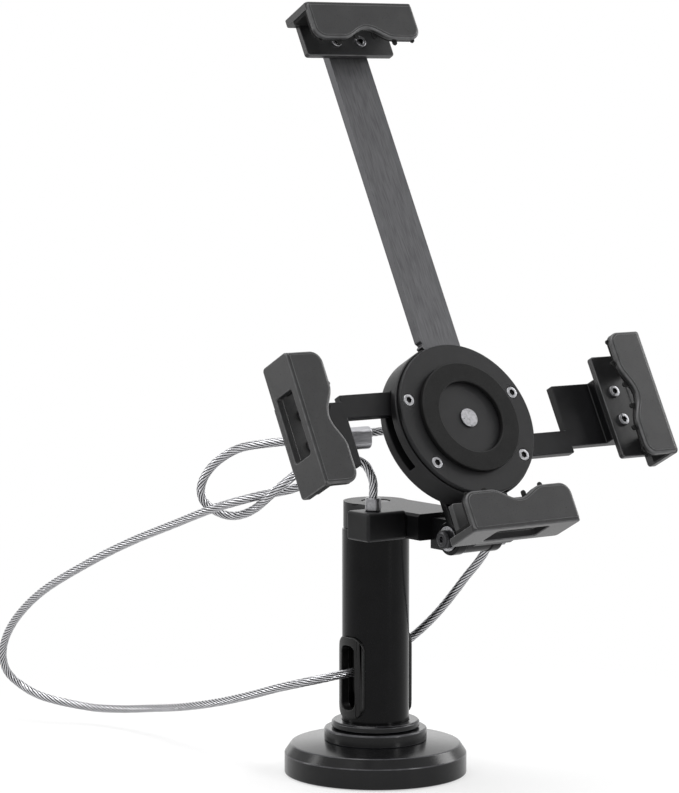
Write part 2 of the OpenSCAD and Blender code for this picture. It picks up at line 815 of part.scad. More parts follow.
module hub_housing() {
  wide = 2 * hub_r;
  color([0.13, 0.13, 0.14]) at_hub() difference() {
    translate([0, hub_back, 0]) rotate([90, 0, 0]) rotate_extrude($fn = 120) {
      square([hub_r - hub_round, hub_back - layer_a]);
      translate([0, hub_round]) square([hub_r, hub_back - layer_a - hub_round]);
      translate([hub_r - hub_round, hub_round]) circle(hub_round, $fn = 32);
    }
    box([-top_arm_w / 2 - fit, layer_a - over, -wide],
      [top_arm_w / 2 + fit, layer_b, wide]);
    box([-wide, layer_b, -lane_top - fit], [wide, hub_floor, lane_top + fit]);
    box([-top_arm_w / 2, layer_b, -wide], [top_arm_w / 2, hub_floor, 0]);
    rod(swivel_head_r + gap, layer_b, hub_floor + gap + swivel_head_h);
    rod(swivel_r + fit, layer_b, hub_back + over);
    translate([-lock_x, 0, lock_z]) rod(lock_r + fit, layer_b, hub_back + over);
    box([-catch_x0 - fit, layer_a - over, lock_z - catch_half - fit],
      [0, layer_b, lock_z + catch_half + fit]);
    for (k = [0:3]) at_cover_screw(k)
      rod(small_screw_r, layer_a - over, cover_depth + cover_screw_l);
    for (s = [-1, 1]) translate([s * jaw_screw_half, 0, -bottom_screw_z]) {
      rod(small_screw_r, hub_floor - over, hub_back + over);
      rod(small_head_r + fit, hub_back - small_head_h, hub_back + over);
    }
  }
}

bottom_screw_z = (hub_r + lane_top) / 2;

module hub_cover() {
  color([0.1, 0.1, 0.11]) at_hub() difference() {
    rod(hub_r - cover_inset, cover_depth, cover_back, 120);
    rod(axle_r, cover_depth - over, cover_back + over);
    for (k = [0:3]) at_cover_screw(k) {
      rod(small_screw_r + fit, cover_depth - over, cover_back + over);
      rod(small_head_r + fit, cover_depth - over, cover_depth + small_head_h);
    }
  }
}

module cover_screw(k) {
  color([0.7, 0.7, 0.72]) at_hub() at_cover_screw(k) difference() {
    union() {
      rod(small_head_r, cover_depth, cover_depth + small_head_h);
      rod(small_screw_r, cover_depth, cover_depth + cover_screw_l);
    }
    rod(small_screw_r, cover_depth - over, cover_depth + small_head_h * half_share, 6);
  }
}

module cover_screw_1() {
  cover_screw(0);
}

module cover_screw_2() {
  cover_screw(1);
}

module cover_screw_3() {
  cover_screw(2);
}

module cover_screw_4() {
  cover_screw(3);
}

module hub_ring_pad() {
  color([0.08, 0.08, 0.08]) at_hub() difference() {
    rod(ring_pad_out, cover_depth - ring_pad_t, cover_depth, 120);
    rod(ring_pad_in, cover_depth - ring_pad_t - over, cover_depth + over, 96);
  }
}

module pinion_axle() {
  color([0.7, 0.7, 0.72]) at_hub() union() {
    rod(axle_r, cover_depth, hub_floor);
    rod(axle_r * 2, cover_depth - washer_t, cover_depth);
  }
}

module pinion() {
  color([0.75, 0.65, 0.35]) at_hub() difference() {
    slab(arm_front, hub_floor - 2 * fit) union() {
      circle(pinion_root, $fn = 48);
      for (t = [0:pinion_teeth - 1])
        rotate(90 + 360 * t / pinion_teeth) polygon(concat([[0, 0]],
          [for (p = tooth_points) [p[0] * cos(p[1]), p[0] * sin(p[1])]]));
    }
    rod(axle_r + fit, layer_b - over, hub_floor + over);
  }
}

module arm_lock_barrel() {
  back = hub_back + lock_proud;
  color([0.75, 0.72, 0.6]) at_hub() translate([-lock_x, 0, lock_z]) difference() {
    union() {
      rod(lock_r, layer_b + gap * half_share, back);
      translate([-pin_side, 0, pin_side])
        rod(pin_r, layer_a + gap, layer_b + gap);
    }
    box([-lock_r * half_share, back - over, -pin_r * half_share],
      [lock_r * half_share, back + over, pin_r * half_share]);
  }
}

module catch_bar() {
  tip = notch_h - fit;
  color([0.7, 0.7, 0.72]) at_hub() difference() {
    slab(layer_a + fit, layer_b - 2 * fit) translate([0, lock_z]) union() {
      translate([-catch_x0, -catch_half])
        square([catch_x0 - catch_tip - tip, 2 * catch_half]);
      polygon([[-catch_tip - tip - fit, -tip - fit], [-catch_tip, 0],
        [-catch_tip - tip - fit, tip + fit]]);
    }
    box([-lock_x - pin_side - pin_r - 2 * fit, layer_a - over,
        lock_z + pin_side - pin_r - 2 * fit],
      [-lock_x - pin_side + pin_r + 2 * fit, layer_b + over,
        lock_z + pin_throw + pin_r + 2 * fit]);
  }
}

module bottom_arm() {
  far = bottom_reach - arm_inset;
  color([0.3, 0.3, 0.31]) at_hub() difference() {
    union() {
      box([-top_arm_w / 2, arm_front, -far],
        [top_arm_w / 2, hub_floor, -lane_top - gap - fit]);
      box([-top_arm_w / 2, layer_a, -far],
        [top_arm_w / 2, arm_front + over, -hub_r - arm_inset]);
    }
    for (s = [-1, 1]) {
      translate([s * jaw_screw_half, 0, -bottom_screw_z])
        rod(small_screw_r, arm_front + over, hub_floor + over);
      translate([s * jaw_screw_half, 0, -bottom_reach + jaw_screw_in])
        rod(small_screw_r, layer_a - over, hub_floor - over);
    }
  }
}

module bottom_arm_screw(s) {
  color([0.7, 0.7, 0.72]) at_hub()
    translate([s * jaw_screw_half, 0, -bottom_screw_z]) difference() {
      union() {
        rod(small_head_r, hub_back - small_head_h, hub_back);
        rod(small_screw_r, arm_front + over, hub_back);
      }
      rod(small_screw_r, hub_back - small_head_h * half_share, hub_back + over, 6);
    }
}

module bottom_arm_screw_1() {
  bottom_arm_screw(-1);
}

module bottom_arm_screw_2() {
  bottom_arm_screw(1);
}

// one jaw: an outer wall with a window, a front lip and a foot
module jaw() {
  half = jaw_l / 2;
  step = (jaw_l - lip_l) / 2;
  win_mid = foot_front - window_w / 2 - window_gap;
  color([0.24, 0.24, 0.25]) difference() {
    union() {
      box([-half, -lip_front + step, 0], [half, layer_a, jaw_wall]);
      slab(-lip_front, -lip_front + lip_t) polygon(lip_points);
      box([-lip_l / 2, -lip_front, 0], [lip_l / 2, 0, jaw_wall]);
      box([-jaw_foot_l / 2, foot_front, 0], [jaw_foot_l / 2, layer_a, jaw_foot_h]);
      for (s = [-1, 1]) scale([s, 1, 1])
        translate([half - jaw_wall, 0, 0]) rotate([90, 0, 90]) linear_extrude(jaw_wall)
          polygon([[foot_front - jaw_foot_t, jaw_wall], [layer_a, jaw_wall],
            [layer_a, jaw_wall + jaw_foot_t]]);
    }
    translate([-half - over, -lip_front, -over]) rotate([45, 0, 0])
      box([0, -step * 2, -step * 2], [jaw_l + 2 * over, 0, step * 2]);
    translate([0, win_mid, -over]) linear_extrude(jaw_wall + 2 * over)
      rounded(window_l, window_w, window_round);
    for (s = [-1, 1]) translate([s * jaw_screw_half, 0, jaw_screw_in])
      rod(small_screw_r + fit, foot_front - over, layer_a + over);
  }
}

rib_places = [-2.5, -1.5, -0.5, 0.5, 1.5, 2.5];

// rubber lining of a jaw: a skin on the wall, a skin under the lip and six ribs
module jaw_pad() {
  under = -lip_front + lip_t;
  win_mid = foot_front - window_w / 2 - window_gap;
  color([0.05, 0.05, 0.05]) union() {
    difference() {
      box([-lip_l / 2, under, jaw_wall], [lip_l / 2, foot_front - jaw_foot_t,
        jaw_wall + liner_t]);
      translate([0, win_mid, 0]) linear_extrude(jaw_wall + liner_t + over)
        rounded(window_l, window_w, window_round);
    }
    slab(under, under + lip_pad_t) intersection() {
      polygon(lip_points);
      translate([-lip_l / 2, jaw_wall]) square([lip_l, lip_h]);
    }
    for (k = rib_places) translate([k * rib_spacing, 0, 0])
      slab(under, under + lip_pad_t) {
        edge = lip_edge(abs(k * rib_spacing) + rib_w / 2);
        corner = abs(k * rib_spacing) + rib_w / 2 > lip_l / 2 - lip_round
          ? lip_round / 4 : 0;
        translate([-rib_w / 2, jaw_wall])
          square([rib_w, edge + rib_past - rib_w / 2 - jaw_wall - corner]);
        translate([0, edge + rib_past - rib_w / 2 - corner])
          circle(rib_w / 2, $fn = 24);
      }
  }
}

// screw through a jaw foot, s is the side along the jaw
module jaw_screw(s, tip) {
  color([0.7, 0.7, 0.72]) translate([s * jaw_screw_half, 0, jaw_screw_in])
    difference() {
      union() {
        rod(small_head_r, foot_front - small_head_h, foot_front);
        rod(small_screw_r, foot_front - small_head_h, tip);
      }
      rod(small_screw_r, foot_front - small_head_h - over,
        foot_front - small_head_h * half_share, 6);
    }
}

module bottom_jaw() {
  at_bottom() jaw();
}

module bottom_pad() {
  at_bottom() jaw_pad();
}

module bottom_jaw_screw_1() {
  at_bottom() jaw_screw(-1, hub_floor - over);
}

module bottom_jaw_screw_2() {
  at_bottom() jaw_screw(1, hub_floor - over);
}

module top_arm() {
  half = top_arm_w / 2;
  low = -top_travel - 2 * axle_r - arm_inset;
  reach = top_travel + axle_r + gap;
  notches = ceil((2 * top_travel + 2 * notch_spacing) / notch_spacing);
  first = lock_z - notch_spacing * floor(notches / 2);
  color([0.62, 0.63, 0.65]) at_hub() difference() {
    slab(layer_a + fit, layer_b - fit) difference() {
      translate([-half, low]) square([top_arm_w, top_reach - arm_inset - low]);
      translate([-axle_r - fit, -reach + axle_r])
        square([2 * axle_r + 2 * fit, 2 * (reach - axle_r)]);
      for (s = [-1, 1]) translate([0, s * (reach - axle_r)]) circle(axle_r + fit);
      for (k = [0:notches - 1])
        translate([-half, first + k * notch_spacing])
          polygon([[-over, -notch_h - over], [notch_h, 0], [-over, notch_h + over]]);
    }
    for (s = [-1, 1])
      translate([s * jaw_screw_half, 0, top_reach - jaw_screw_in])
        rod(small_screw_r, layer_a - over, layer_b + over);
  }
}

module top_jaw() {
  at_top() jaw();
}

module top_pad() {
  at_top() jaw_pad();
}

module top_jaw_screw_1() {
  at_top() jaw_screw(-1, layer_b - fit);
}

module top_jaw_screw_2() {
  at_top() jaw_screw(1, layer_b - fit);
}

// side arm drawn for the left side: bar with a rack, then a wide end
module side_arm() {
  step = PI * tooth_m;
  teeth = [for (k = [-8:4]) (k + half_share) * step];
  tip_half = tooth_half - tooth_shares[0] * tooth_m * tan(tooth_angle);
  root_half = tooth_half + tooth_shares[1] * tooth_m * tan(tooth_angle);
  far = side_reach - side_arm_inset;
  color([0.3, 0.3, 0.31]) difference() {
    union() {
      slab(arm_front, hub_floor - 2 * fit) {
        translate([-side_plate_start - over, rack_root])
          square([side_plate_start + side_arm_past + over, side_arm_w]);
        for (x = teeth) translate([x, 0])
          polygon([[-tip_half, rack_tip], [tip_half, rack_tip],
            [root_half, rack_root + fit], [-root_half, rack_root + fit]]);
        translate([-far, -side_plate_half])
          square([far - side_plate_start, 2 * side_plate_half]);
        polygon([[-side_plate_start, lane_top], [-side_plate_start, rack_root],
          [-side_plate_start - over, lane_top]]);
      }
      box([-far, layer_a, -side_plate_half],
        [-side_reach + jaw_foot_h, arm_front + over, side_plate_half]);
    }
    for (s = [-1, 1])
      translate([-side_reach + jaw_screw_in, 0, s * jaw_screw_half])
        rod(small_screw_r, layer_a - over, hub_floor + over);
  }
}

module left_arm() {
  at_hub() side_arm();
}

module left_jaw() {
  at_left() jaw();
}

module left_pad() {
  at_left() jaw_pad();
}

module left_jaw_screw_1() {
  at_left() jaw_screw(-1, hub_floor - 2 * fit);
}

module left_jaw_screw_2() {
  at_left() jaw_screw(1, hub_floor - 2 * fit);
}

module right_arm() {
  at_hub() rotate([0, 180, 0]) side_arm();
}

module right_jaw() {
  at_right() jaw();
}

module right_pad() {
  at_right() jaw_pad();
}

module right_jaw_screw_1() {
  at_right() jaw_screw(-1, hub_floor - 2 * fit);
}

module right_jaw_screw_2() {
  at_right() jaw_screw(1, hub_floor - 2 * fit);
}

base_pad();
base_plate();
base_cover();
lower_collar();
upper_ring();
post_tube();
post_foot_plug();
post_bolt();
post_top_plug();
left_grommet();
right_grommet();
neck_arm();
neck_bolt();
cable_lock_body();
cable_lock_barrel();
cable_plug();
cable_ferrule();
cable();
tilt_bracket();
tilt_bolt();
tilt_left_washer();
tilt_right_washer();
tilt_nut();
swivel_bolt();
swivel_washer();
swivel_nut();
hub_housing();
hub_cover();
cover_screw_1();
cover_screw_2();
cover_screw_3();
cover_screw_4();
hub_ring_pad();
pinion_axle();
pinion();
arm_lock_barrel();
catch_bar();
bottom_arm();
bottom_arm_screw_1();
bottom_arm_screw_2();
bottom_jaw();
bottom_pad();
bottom_jaw_screw_1();
bottom_jaw_screw_2();
top_arm();
top_jaw();
top_pad();
top_jaw_screw_1();
top_jaw_screw_2();
left_arm();
left_jaw();
left_pad();
left_jaw_screw_1();
left_jaw_screw_2();
right_arm();
right_jaw();
right_pad();
right_jaw_screw_1();
right_jaw_screw_2();
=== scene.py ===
# %% [markdown]
# # Looks of the security stand
# The stand clamps a flat device by its edges and ties it to a counter by a steel cable.
# Its CAD model is the fixed frame of this scene. Each cell below dresses a group of its
# pieces: it rounds the edges, gives the surfaces their finish, and replaces the plain CAD
# piece by the dressed one. The dressed pieces could also be modelled freely over the CAD,
# but copies of its solids keep every size and joint where the CAD has it. All lengths are
# in metres, in the CAD's own frame: the origin is the middle of the base's underside, Z is
# up and the open side of the jaws faces -Y.

# %% Load the frame
import json
import math

import bmesh
import bpy
import numpy as np
from mathutils import Matrix, Vector
from mathutils.geometry import tessellate_polygon
from mathutils.kdtree import KDTree

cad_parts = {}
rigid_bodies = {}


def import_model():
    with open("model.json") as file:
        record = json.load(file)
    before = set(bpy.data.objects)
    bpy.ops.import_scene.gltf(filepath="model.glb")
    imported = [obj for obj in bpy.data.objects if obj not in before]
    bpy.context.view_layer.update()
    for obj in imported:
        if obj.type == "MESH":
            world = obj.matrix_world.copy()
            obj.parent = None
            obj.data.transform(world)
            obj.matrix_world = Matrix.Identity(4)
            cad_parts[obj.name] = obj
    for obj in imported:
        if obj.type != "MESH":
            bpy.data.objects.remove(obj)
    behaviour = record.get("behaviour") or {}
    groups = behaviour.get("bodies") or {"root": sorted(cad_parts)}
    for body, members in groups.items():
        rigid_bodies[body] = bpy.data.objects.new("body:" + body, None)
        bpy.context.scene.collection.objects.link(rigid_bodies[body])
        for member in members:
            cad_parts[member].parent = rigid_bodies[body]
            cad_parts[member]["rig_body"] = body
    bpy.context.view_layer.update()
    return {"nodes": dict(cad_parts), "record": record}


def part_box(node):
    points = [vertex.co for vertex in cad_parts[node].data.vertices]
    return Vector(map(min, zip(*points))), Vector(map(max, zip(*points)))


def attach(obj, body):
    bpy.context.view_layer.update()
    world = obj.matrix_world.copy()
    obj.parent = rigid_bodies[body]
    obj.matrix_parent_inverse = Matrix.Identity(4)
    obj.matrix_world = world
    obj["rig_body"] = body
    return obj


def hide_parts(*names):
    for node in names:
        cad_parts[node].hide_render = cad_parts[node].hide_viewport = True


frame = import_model()
NODES = frame["nodes"]
MM = 0.001

# %% [markdown]
# ## Camera
# A camera can be set by eye or solved from points whose places are known. Here it was
# solved: from a rectangle of known shape and the ellipses of the base and the collar it
# comes to about 1.5 m away, 37 degrees to the left of the front, looking 5.5 degrees
# down. The picture's middle is the optical centre, so there is no shift. Everything is
# sharp in the photo, so depth of field stays off.

# %% Camera
CAM_PLACE = (-0.8925, -1.1448, 0.3142)
CAM_PITCH = math.radians(90 - 5.47)
CAM_YAW = math.radians(-37.28)
FOCAL_PX = 3168.9
PHOTO_HEIGHT_PX = 793
SENSOR = 36.0
NEAREST, FARTHEST = 0.05, 50


def in_scene(name, data):
    """A new object in the scene, left at the origin."""
    obj = bpy.data.objects.new(name, data)
    bpy.context.scene.collection.objects.link(obj)
    return obj


cam_data = bpy.data.cameras.new("camera")
cam_data.sensor_fit = "VERTICAL"
cam_data.sensor_height = SENSOR
cam_data.lens = FOCAL_PX * SENSOR / PHOTO_HEIGHT_PX
cam_data.clip_start, cam_data.clip_end = NEAREST, FARTHEST
camera = in_scene("camera", cam_data)
camera.location = CAM_PLACE
camera.rotation_euler = (CAM_PITCH, 0, CAM_YAW)
bpy.context.scene.camera = camera
print("camera lens %.1f mm" % cam_data.lens)

# %% [markdown]
# ## Finishes
# The real stand is powder coated steel (base, tube, neck), moulded plastic (hub, jaws,
# cable openings), rubber, zinc plated screws and aluminium. Each has its own sheen and
# grain, and its rounded edges are painted lighter: partly wear from handling, partly
# painted highlight along the rims. Such surfaces could be painted as image textures, but
# these are made from noise in object coordinates: the objects are never moved, so the grain
# has the same size in millimetres on every piece, there are no seams, and one function
# gives a whole family of finishes. Two attributes that the meshes carry, "edge" and
# "recess", tell a finish where to paint the rims lighter, as wear and painted highlight,
# and where to paint shade into a hollow.

# %% A new material and its noise
def new_material(name):
    """A material with an empty tree but for the output and one Principled shader."""
    material = bpy.data.materials.new(name)
    material.use_nodes = True
    tree = material.node_tree
    tree.nodes.clear()
    out = tree.nodes.new("ShaderNodeOutputMaterial")
    shader = tree.nodes.new("ShaderNodeBsdfPrincipled")
    tree.links.new(shader.outputs["BSDF"], out.inputs["Surface"])
    return material, tree, shader


def noise(tree, scale, detail, rough=0.5, stretch=None):
    """Noise in object coordinates, scale in cycles per metre, each axis times stretch."""
    at = tree.nodes.new("ShaderNodeTexCoord").outputs["Object"]
    if stretch:
        mapping = tree.nodes.new("ShaderNodeMapping")
        mapping.inputs["Scale"].default_value = stretch
        tree.links.new(at, mapping.inputs["Vector"])
        at = mapping.outputs["Vector"]
    texture = tree.nodes.new("ShaderNodeTexNoise")
    texture.inputs["Scale"].default_value = scale
    texture.inputs["Detail"].default_value = detail
    texture.inputs["Roughness"].default_value = rough
    tree.links.new(at, texture.inputs["Vector"])
    return texture.outputs["Fac"]


print("materials so far:", len(bpy.data.materials))

# %% Nodes that change a value
NOISE_LOW, NOISE_HIGH = 0.3, 0.7


def spread(tree, value, low, high, start=NOISE_LOW, stop=NOISE_HIGH, curve="LINEAR"):
    """Maps a value between start and stop, as most noise is, to a range."""
    node = tree.nodes.new("ShaderNodeMapRange")
    node.interpolation_type = curve
    node.inputs["From Min"].default_value = start
    node.inputs["From Max"].default_value = stop
    node.inputs["To Min"].default_value = low
    node.inputs["To Max"].default_value = high
    tree.links.new(value, node.inputs["Value"])
    return node.outputs["Result"]


def combined(tree, operation, a, b):
    """One value made from two by the named arithmetic."""
    node = tree.nodes.new("ShaderNodeMath")
    node.operation = operation
    tree.links.new(a, node.inputs[0])
    tree.links.new(b, node.inputs[1])
    return node.outputs["Value"]


def stored(tree, name):
    """The number that the mesh carries under a name."""
    node = tree.nodes.new("ShaderNodeAttribute")
    node.attribute_name = name
    return node.outputs["Fac"]


def tint(tree, value, dark, light):
    """Mixes two colours by a value; dark may be the output of another mix."""
    node = tree.nodes.new("ShaderNodeMix")
    node.data_type = "RGBA"
    if isinstance(dark, tuple):
        node.inputs["A"].default_value = (*dark, 1)
    else:
        tree.links.new(dark, node.inputs["A"])
    node.inputs["B"].default_value = (*light, 1)
    tree.links.new(value, node.inputs["Factor"])
    return node.outputs["Result"]


def bump(tree, shader, height, strength, distance):
    """Lets the light fall as if the surface rose by height times distance in metres."""
    node = tree.nodes.new("ShaderNodeBump")
    node.inputs["Strength"].default_value = strength
    node.inputs["Distance"].default_value = distance
    tree.links.new(height, node.inputs["Height"])
    tree.links.new(node.outputs["Normal"], shader.inputs["Normal"])


print("most noise lies between", NOISE_LOW, "and", NOISE_HIGH)

# %% The two families of finishes
EDGE, RECESS = "edge", "recess"
BROAD_GRAIN, WEAR_AND_HIGHLIGHT_GRAIN = 130, 240
LEAST_WEAR_AND_HIGHLIGHT = 0.45
SOCKET_SHADE_COLOUR = (0.012, 0.012, 0.012)
COAT_BUMP, METAL_BUMP, METAL_DEPTH = 0.35, 0.25, 0.00002


def coated(name, dark, light, rough, grain, depth, sheen, wear_and_highlight=2.5, metallic=0.0):
    """Paint, plastic or rubber: two close colours, uneven gloss, a fine grain, and rounded
    edges painted lighter by a factor: part wear from handling, part painted highlight."""
    material, tree, shader = new_material(name)
    shader.inputs["Metallic"].default_value = metallic
    shader.inputs["Specular IOR Level"].default_value = sheen
    fine = noise(tree, grain, 4, 0.6)
    body = tint(tree, spread(tree, noise(tree, BROAD_GRAIN, 4), 0, 1), dark, light)
    # Rounded edges are painted lighter in patches: part wear, part painted highlight along
    # the rims.
    patchy_wear_and_highlight = combined(tree, "MULTIPLY", stored(tree, EDGE),
                      spread(tree, noise(tree, WEAR_AND_HIGHLIGHT_GRAIN, 3), LEAST_WEAR_AND_HIGHLIGHT, 1.0))
    tree.links.new(tint(tree, patchy_wear_and_highlight, body, tuple(c * wear_and_highlight for c in light)),
                   shader.inputs["Base Color"])
    tree.links.new(spread(tree, fine, rough[0], rough[1]), shader.inputs["Roughness"])
    bump(tree, shader, fine, COAT_BUMP, depth)
    return material


def metal(name, dark, light, rough, brush=(1, 1, 1), grain=900):
    """Bare metal: streaked along the axes whose brush factor is small; points marked as a
    recess get painted shade.
    """
    material, tree, shader = new_material(name)
    shader.inputs["Metallic"].default_value = 1.0
    streaks = noise(tree, grain, 4, stretch=brush)
    body = tint(tree, spread(tree, streaks, 0, 1), dark, light)
    # Points marked as a recess are painted dark: painted shade in a hollow.
    tree.links.new(tint(tree, stored(tree, RECESS), body, SOCKET_SHADE_COLOUR),
                   shader.inputs["Base Color"])
    tree.links.new(spread(tree, streaks, rough[0], rough[1]), shader.inputs["Roughness"])
    bump(tree, shader, streaks, METAL_BUMP, METAL_DEPTH)
    return material


print("finishes read the attributes", EDGE, "and", RECESS)

# %% The stand's finishes
# Dark and light colour, range of roughness, grain and its depth, sheen, edge lightening
# (wear and painted highlight), metallic.
COATS = {
    "black_paint": ((0.0022, 0.0022, 0.0025), (0.0036, 0.0036, 0.004), (0.15, 0.22), 2600,
                    0.00002, 0.11),
    # A lighter, glossier copy of the black paint for the base's pieces: its lighter colour
    # is painted light that the base catches, and its large edge factor paints brighter
    # rims, part wear and part painted highlight.
    "base_paint": ((0.004, 0.004, 0.0045), (0.006, 0.006, 0.0065), (0.18, 0.28), 2600,
                   0.00002, 0.24, 12),
    "grey_paint": ((0.0035, 0.0035, 0.004), (0.0055, 0.0055, 0.006), (0.30, 0.42), 2400,
                   0.00003, 0.16),
    "hub_plastic": ((0.0045, 0.0045, 0.005), (0.007, 0.007, 0.0075), (0.38, 0.50), 1800,
                    0.00004, 0.18),
    "jaw_plastic": ((0.016, 0.016, 0.0165), (0.022, 0.022, 0.0225), (0.26, 0.36), 2200,
                    0.00003, 0.28, 4),
    "rubber": ((0.005, 0.005, 0.005), (0.008, 0.008, 0.008), (0.60, 0.78), 1500, 0.00005,
               0.12),
    "grommet_plastic": ((0.006, 0.006, 0.006), (0.010, 0.010, 0.010), (0.30, 0.42), 1800,
                        0.00002, 0.2),
    "dark_steel": ((0.010, 0.010, 0.011), (0.018, 0.018, 0.020), (0.28, 0.38), 1600,
                   0.00002, 0.3, 2.5, 0.4),
}
# Dark and light colour, range of roughness, brush, grain.
METALS = {
    "steel": ((0.20, 0.20, 0.21), (0.32, 0.32, 0.33), (0.26, 0.42)),
    "plate_steel": ((0.30, 0.30, 0.32), (0.42, 0.42, 0.44), (0.34, 0.50)),
    "arm_aluminium": ((0.055, 0.055, 0.058), (0.085, 0.085, 0.088), (0.36, 0.50),
                      (1, 0.08, 0.08), 1600),
    "brass": ((0.52, 0.36, 0.12), (0.68, 0.50, 0.22), (0.24, 0.36)),
    "lock_chrome": ((0.55, 0.55, 0.57), (0.68, 0.68, 0.70), (0.10, 0.20)),
    "crimp_aluminium": ((0.42, 0.42, 0.44), (0.56, 0.56, 0.58), (0.30, 0.44), (0.2, 1, 1)),
}
FINISH = {name: coated(name, *facts) for name, facts in COATS.items()}
FINISH.update({name: metal(name, *facts) for name, facts in METALS.items()})
SLOT_OF = {s["node"]: s["material_slot"] for s in frame["record"]["subparts"]}
print("finishes:", sorted(FINISH))

# %% [markdown]
# ## Rounding the CAD pieces
# No real edge is perfectly sharp: a bent plate, a moulding or a turned bolt catches a
# thin line of light along each edge. The solids have sharp edges, so a dressed piece
# starts as a copy of its CAD mesh whose flat faces are merged, and every edge that turns
# by more than the limit gets a small round. A shader can fake such a round, but then the
# exported mesh would still be sharp. The round's own faces are known here, so their
# points, and no others, get a 1 as their "edge", which the finishes read. The rounds only
# take material off; where one would spike out of the CAD box, a smaller one is tried.

# %% Baking and shading a mesh
LARGEST_WEIGHT = 100


def baked(obj, name=None):
    """The object's mesh with its modifiers applied; the modifiers are then removed."""
    graph = bpy.context.evaluated_depsgraph_get()
    mesh = bpy.data.meshes.new_from_object(obj.evaluated_get(graph))
    obj.modifiers.clear()
    mesh.name = name or obj.data.name
    return mesh


def smooth(mesh, degrees=40):
    """Shades the mesh smooth, but for the edges that turn by more than the angle."""
    mesh.polygons.foreach_set("use_smooth", [True] * len(mesh.polygons))
    mesh.set_sharp_from_angle(angle=math.radians(degrees))
    mesh.update()


def even_normals(obj):
    """Lets each point's normal follow its large faces, so flats beside rounds stay flat."""
    weigh = obj.modifiers.new("even", "WEIGHTED_NORMAL")
    weigh.mode = "FACE_AREA"
    weigh.weight = LARGEST_WEIGHT
    weigh.keep_sharp = True
    obj.data = baked(obj)


print("large faces weigh", LARGEST_WEIGHT)

# %% Placing a dressed piece
BOX_SLACK = 0.03 * MM


def body_of(node):
    """The moving or fixed body that a CAD piece belongs to."""
    return NODES[node]["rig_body"]


def place(obj, nodes, slot, finish=None):
    """Gives a finished object its finish and its body, and hides the CAD pieces that it
    replaces.
    """
    obj.data.materials.clear()
    obj.data.materials.append(FINISH[finish or slot])
    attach(obj, body_of(nodes[0]))
    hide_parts(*nodes)
    return obj


def past_box(mesh, node):
    """How far the mesh goes past the CAD piece's box, in metres."""
    low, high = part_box(node)
    at = np.empty(len(mesh.vertices) * 3)
    mesh.vertices.foreach_get("co", at)
    at = at.reshape(-1, 3)
    return max((np.array(low) - at.min(axis=0)).max(), (at.max(axis=0) - high).max())


print("bodies:", sorted({body_of(node) for node in NODES}))

# %% Rounding and marking the edges
BEVEL_STEPS, SHARP_LIMIT = 3, 32


def store(mesh, name, values, kind="FLOAT"):
    """Stores a number, or a vector, for each of the mesh's points."""
    made = mesh.attributes.new(name, kind, "POINT")
    made.data.foreach_set("value" if kind == "FLOAT" else "vector",
                          np.array(values, np.float32).ravel())


def points_of_rounds(mesh):
    """A flag for each point: does it touch only faces that the bevel made?"""
    only = np.ones(len(mesh.vertices), bool)
    for face in mesh.polygons:
        if face.material_index == 0:
            only[list(face.vertices)] = False
    return only


def rounded_mesh(obj, width, clamp):
    """The object's mesh with its edges rounded by width millimetres."""
    bevel = obj.modifiers.new("round", "BEVEL")
    bevel.width = width * MM
    bevel.segments = BEVEL_STEPS
    bevel.limit_method = "ANGLE"
    bevel.angle_limit = math.radians(SHARP_LIMIT)
    bevel.use_clamp_overlap = clamp
    bevel.material = 1
    made = baked(obj)
    # The rounds' points get the edge mark, which the finishes paint lighter as wear and
    # painted highlight.
    store(made, EDGE, points_of_rounds(made))
    made.polygons.foreach_set("material_index", [0] * len(made.polygons))
    return made


print("rounding starts at edges of", SHARP_LIMIT, "degrees")

# %% Dressing one piece
SAME_POINT, FLAT_ANGLE = 2e-6, 0.6


def dress(node, width):
    """A copy of the CAD piece, its edges rounded as far as it stays in its box."""
    mesh = bpy.data.meshes.new("look_" + node)
    work = bmesh.new()
    work.from_mesh(NODES[node].data)
    bmesh.ops.remove_doubles(work, verts=work.verts, dist=SAME_POINT)
    bmesh.ops.dissolve_limit(work, angle_limit=math.radians(FLAT_ANGLE),
                             verts=work.verts, edges=work.edges)
    work.to_mesh(mesh)
    work.free()
    obj = in_scene("look_" + node, mesh)
    for _ in ("flats", "rounds"):
        mesh.materials.append(FINISH[SLOT_OF[node]])
    for share, clamp in ((1, False), (0.6, False), (1, True)):
        made = rounded_mesh(obj, width * share, clamp)
        if past_box(made, node) < BOX_SLACK:
            obj.data = made
            break
        print("rounded less:", node, round(width * share, 2))
    smooth(obj.data)
    even_normals(obj)
    return place(obj, [node], SLOT_OF[node])


print("faces that turn by less than", FLAT_ANGLE, "degrees are merged")

# %% [markdown]
# ## Node trees for repeated and wound pieces
# The screws repeat, the cable's strands follow a path and the base's rings go round an
# axis. Each could be built point by point in a loop, but Geometry Nodes say it better: a
# tree states the rule once, and its named inputs hold the sizes. The small class below
# adds a node, wires its inputs by name, and turns the result into a plain mesh, because
# the exported model keeps only meshes. Finishes are given afterwards, as to any piece.

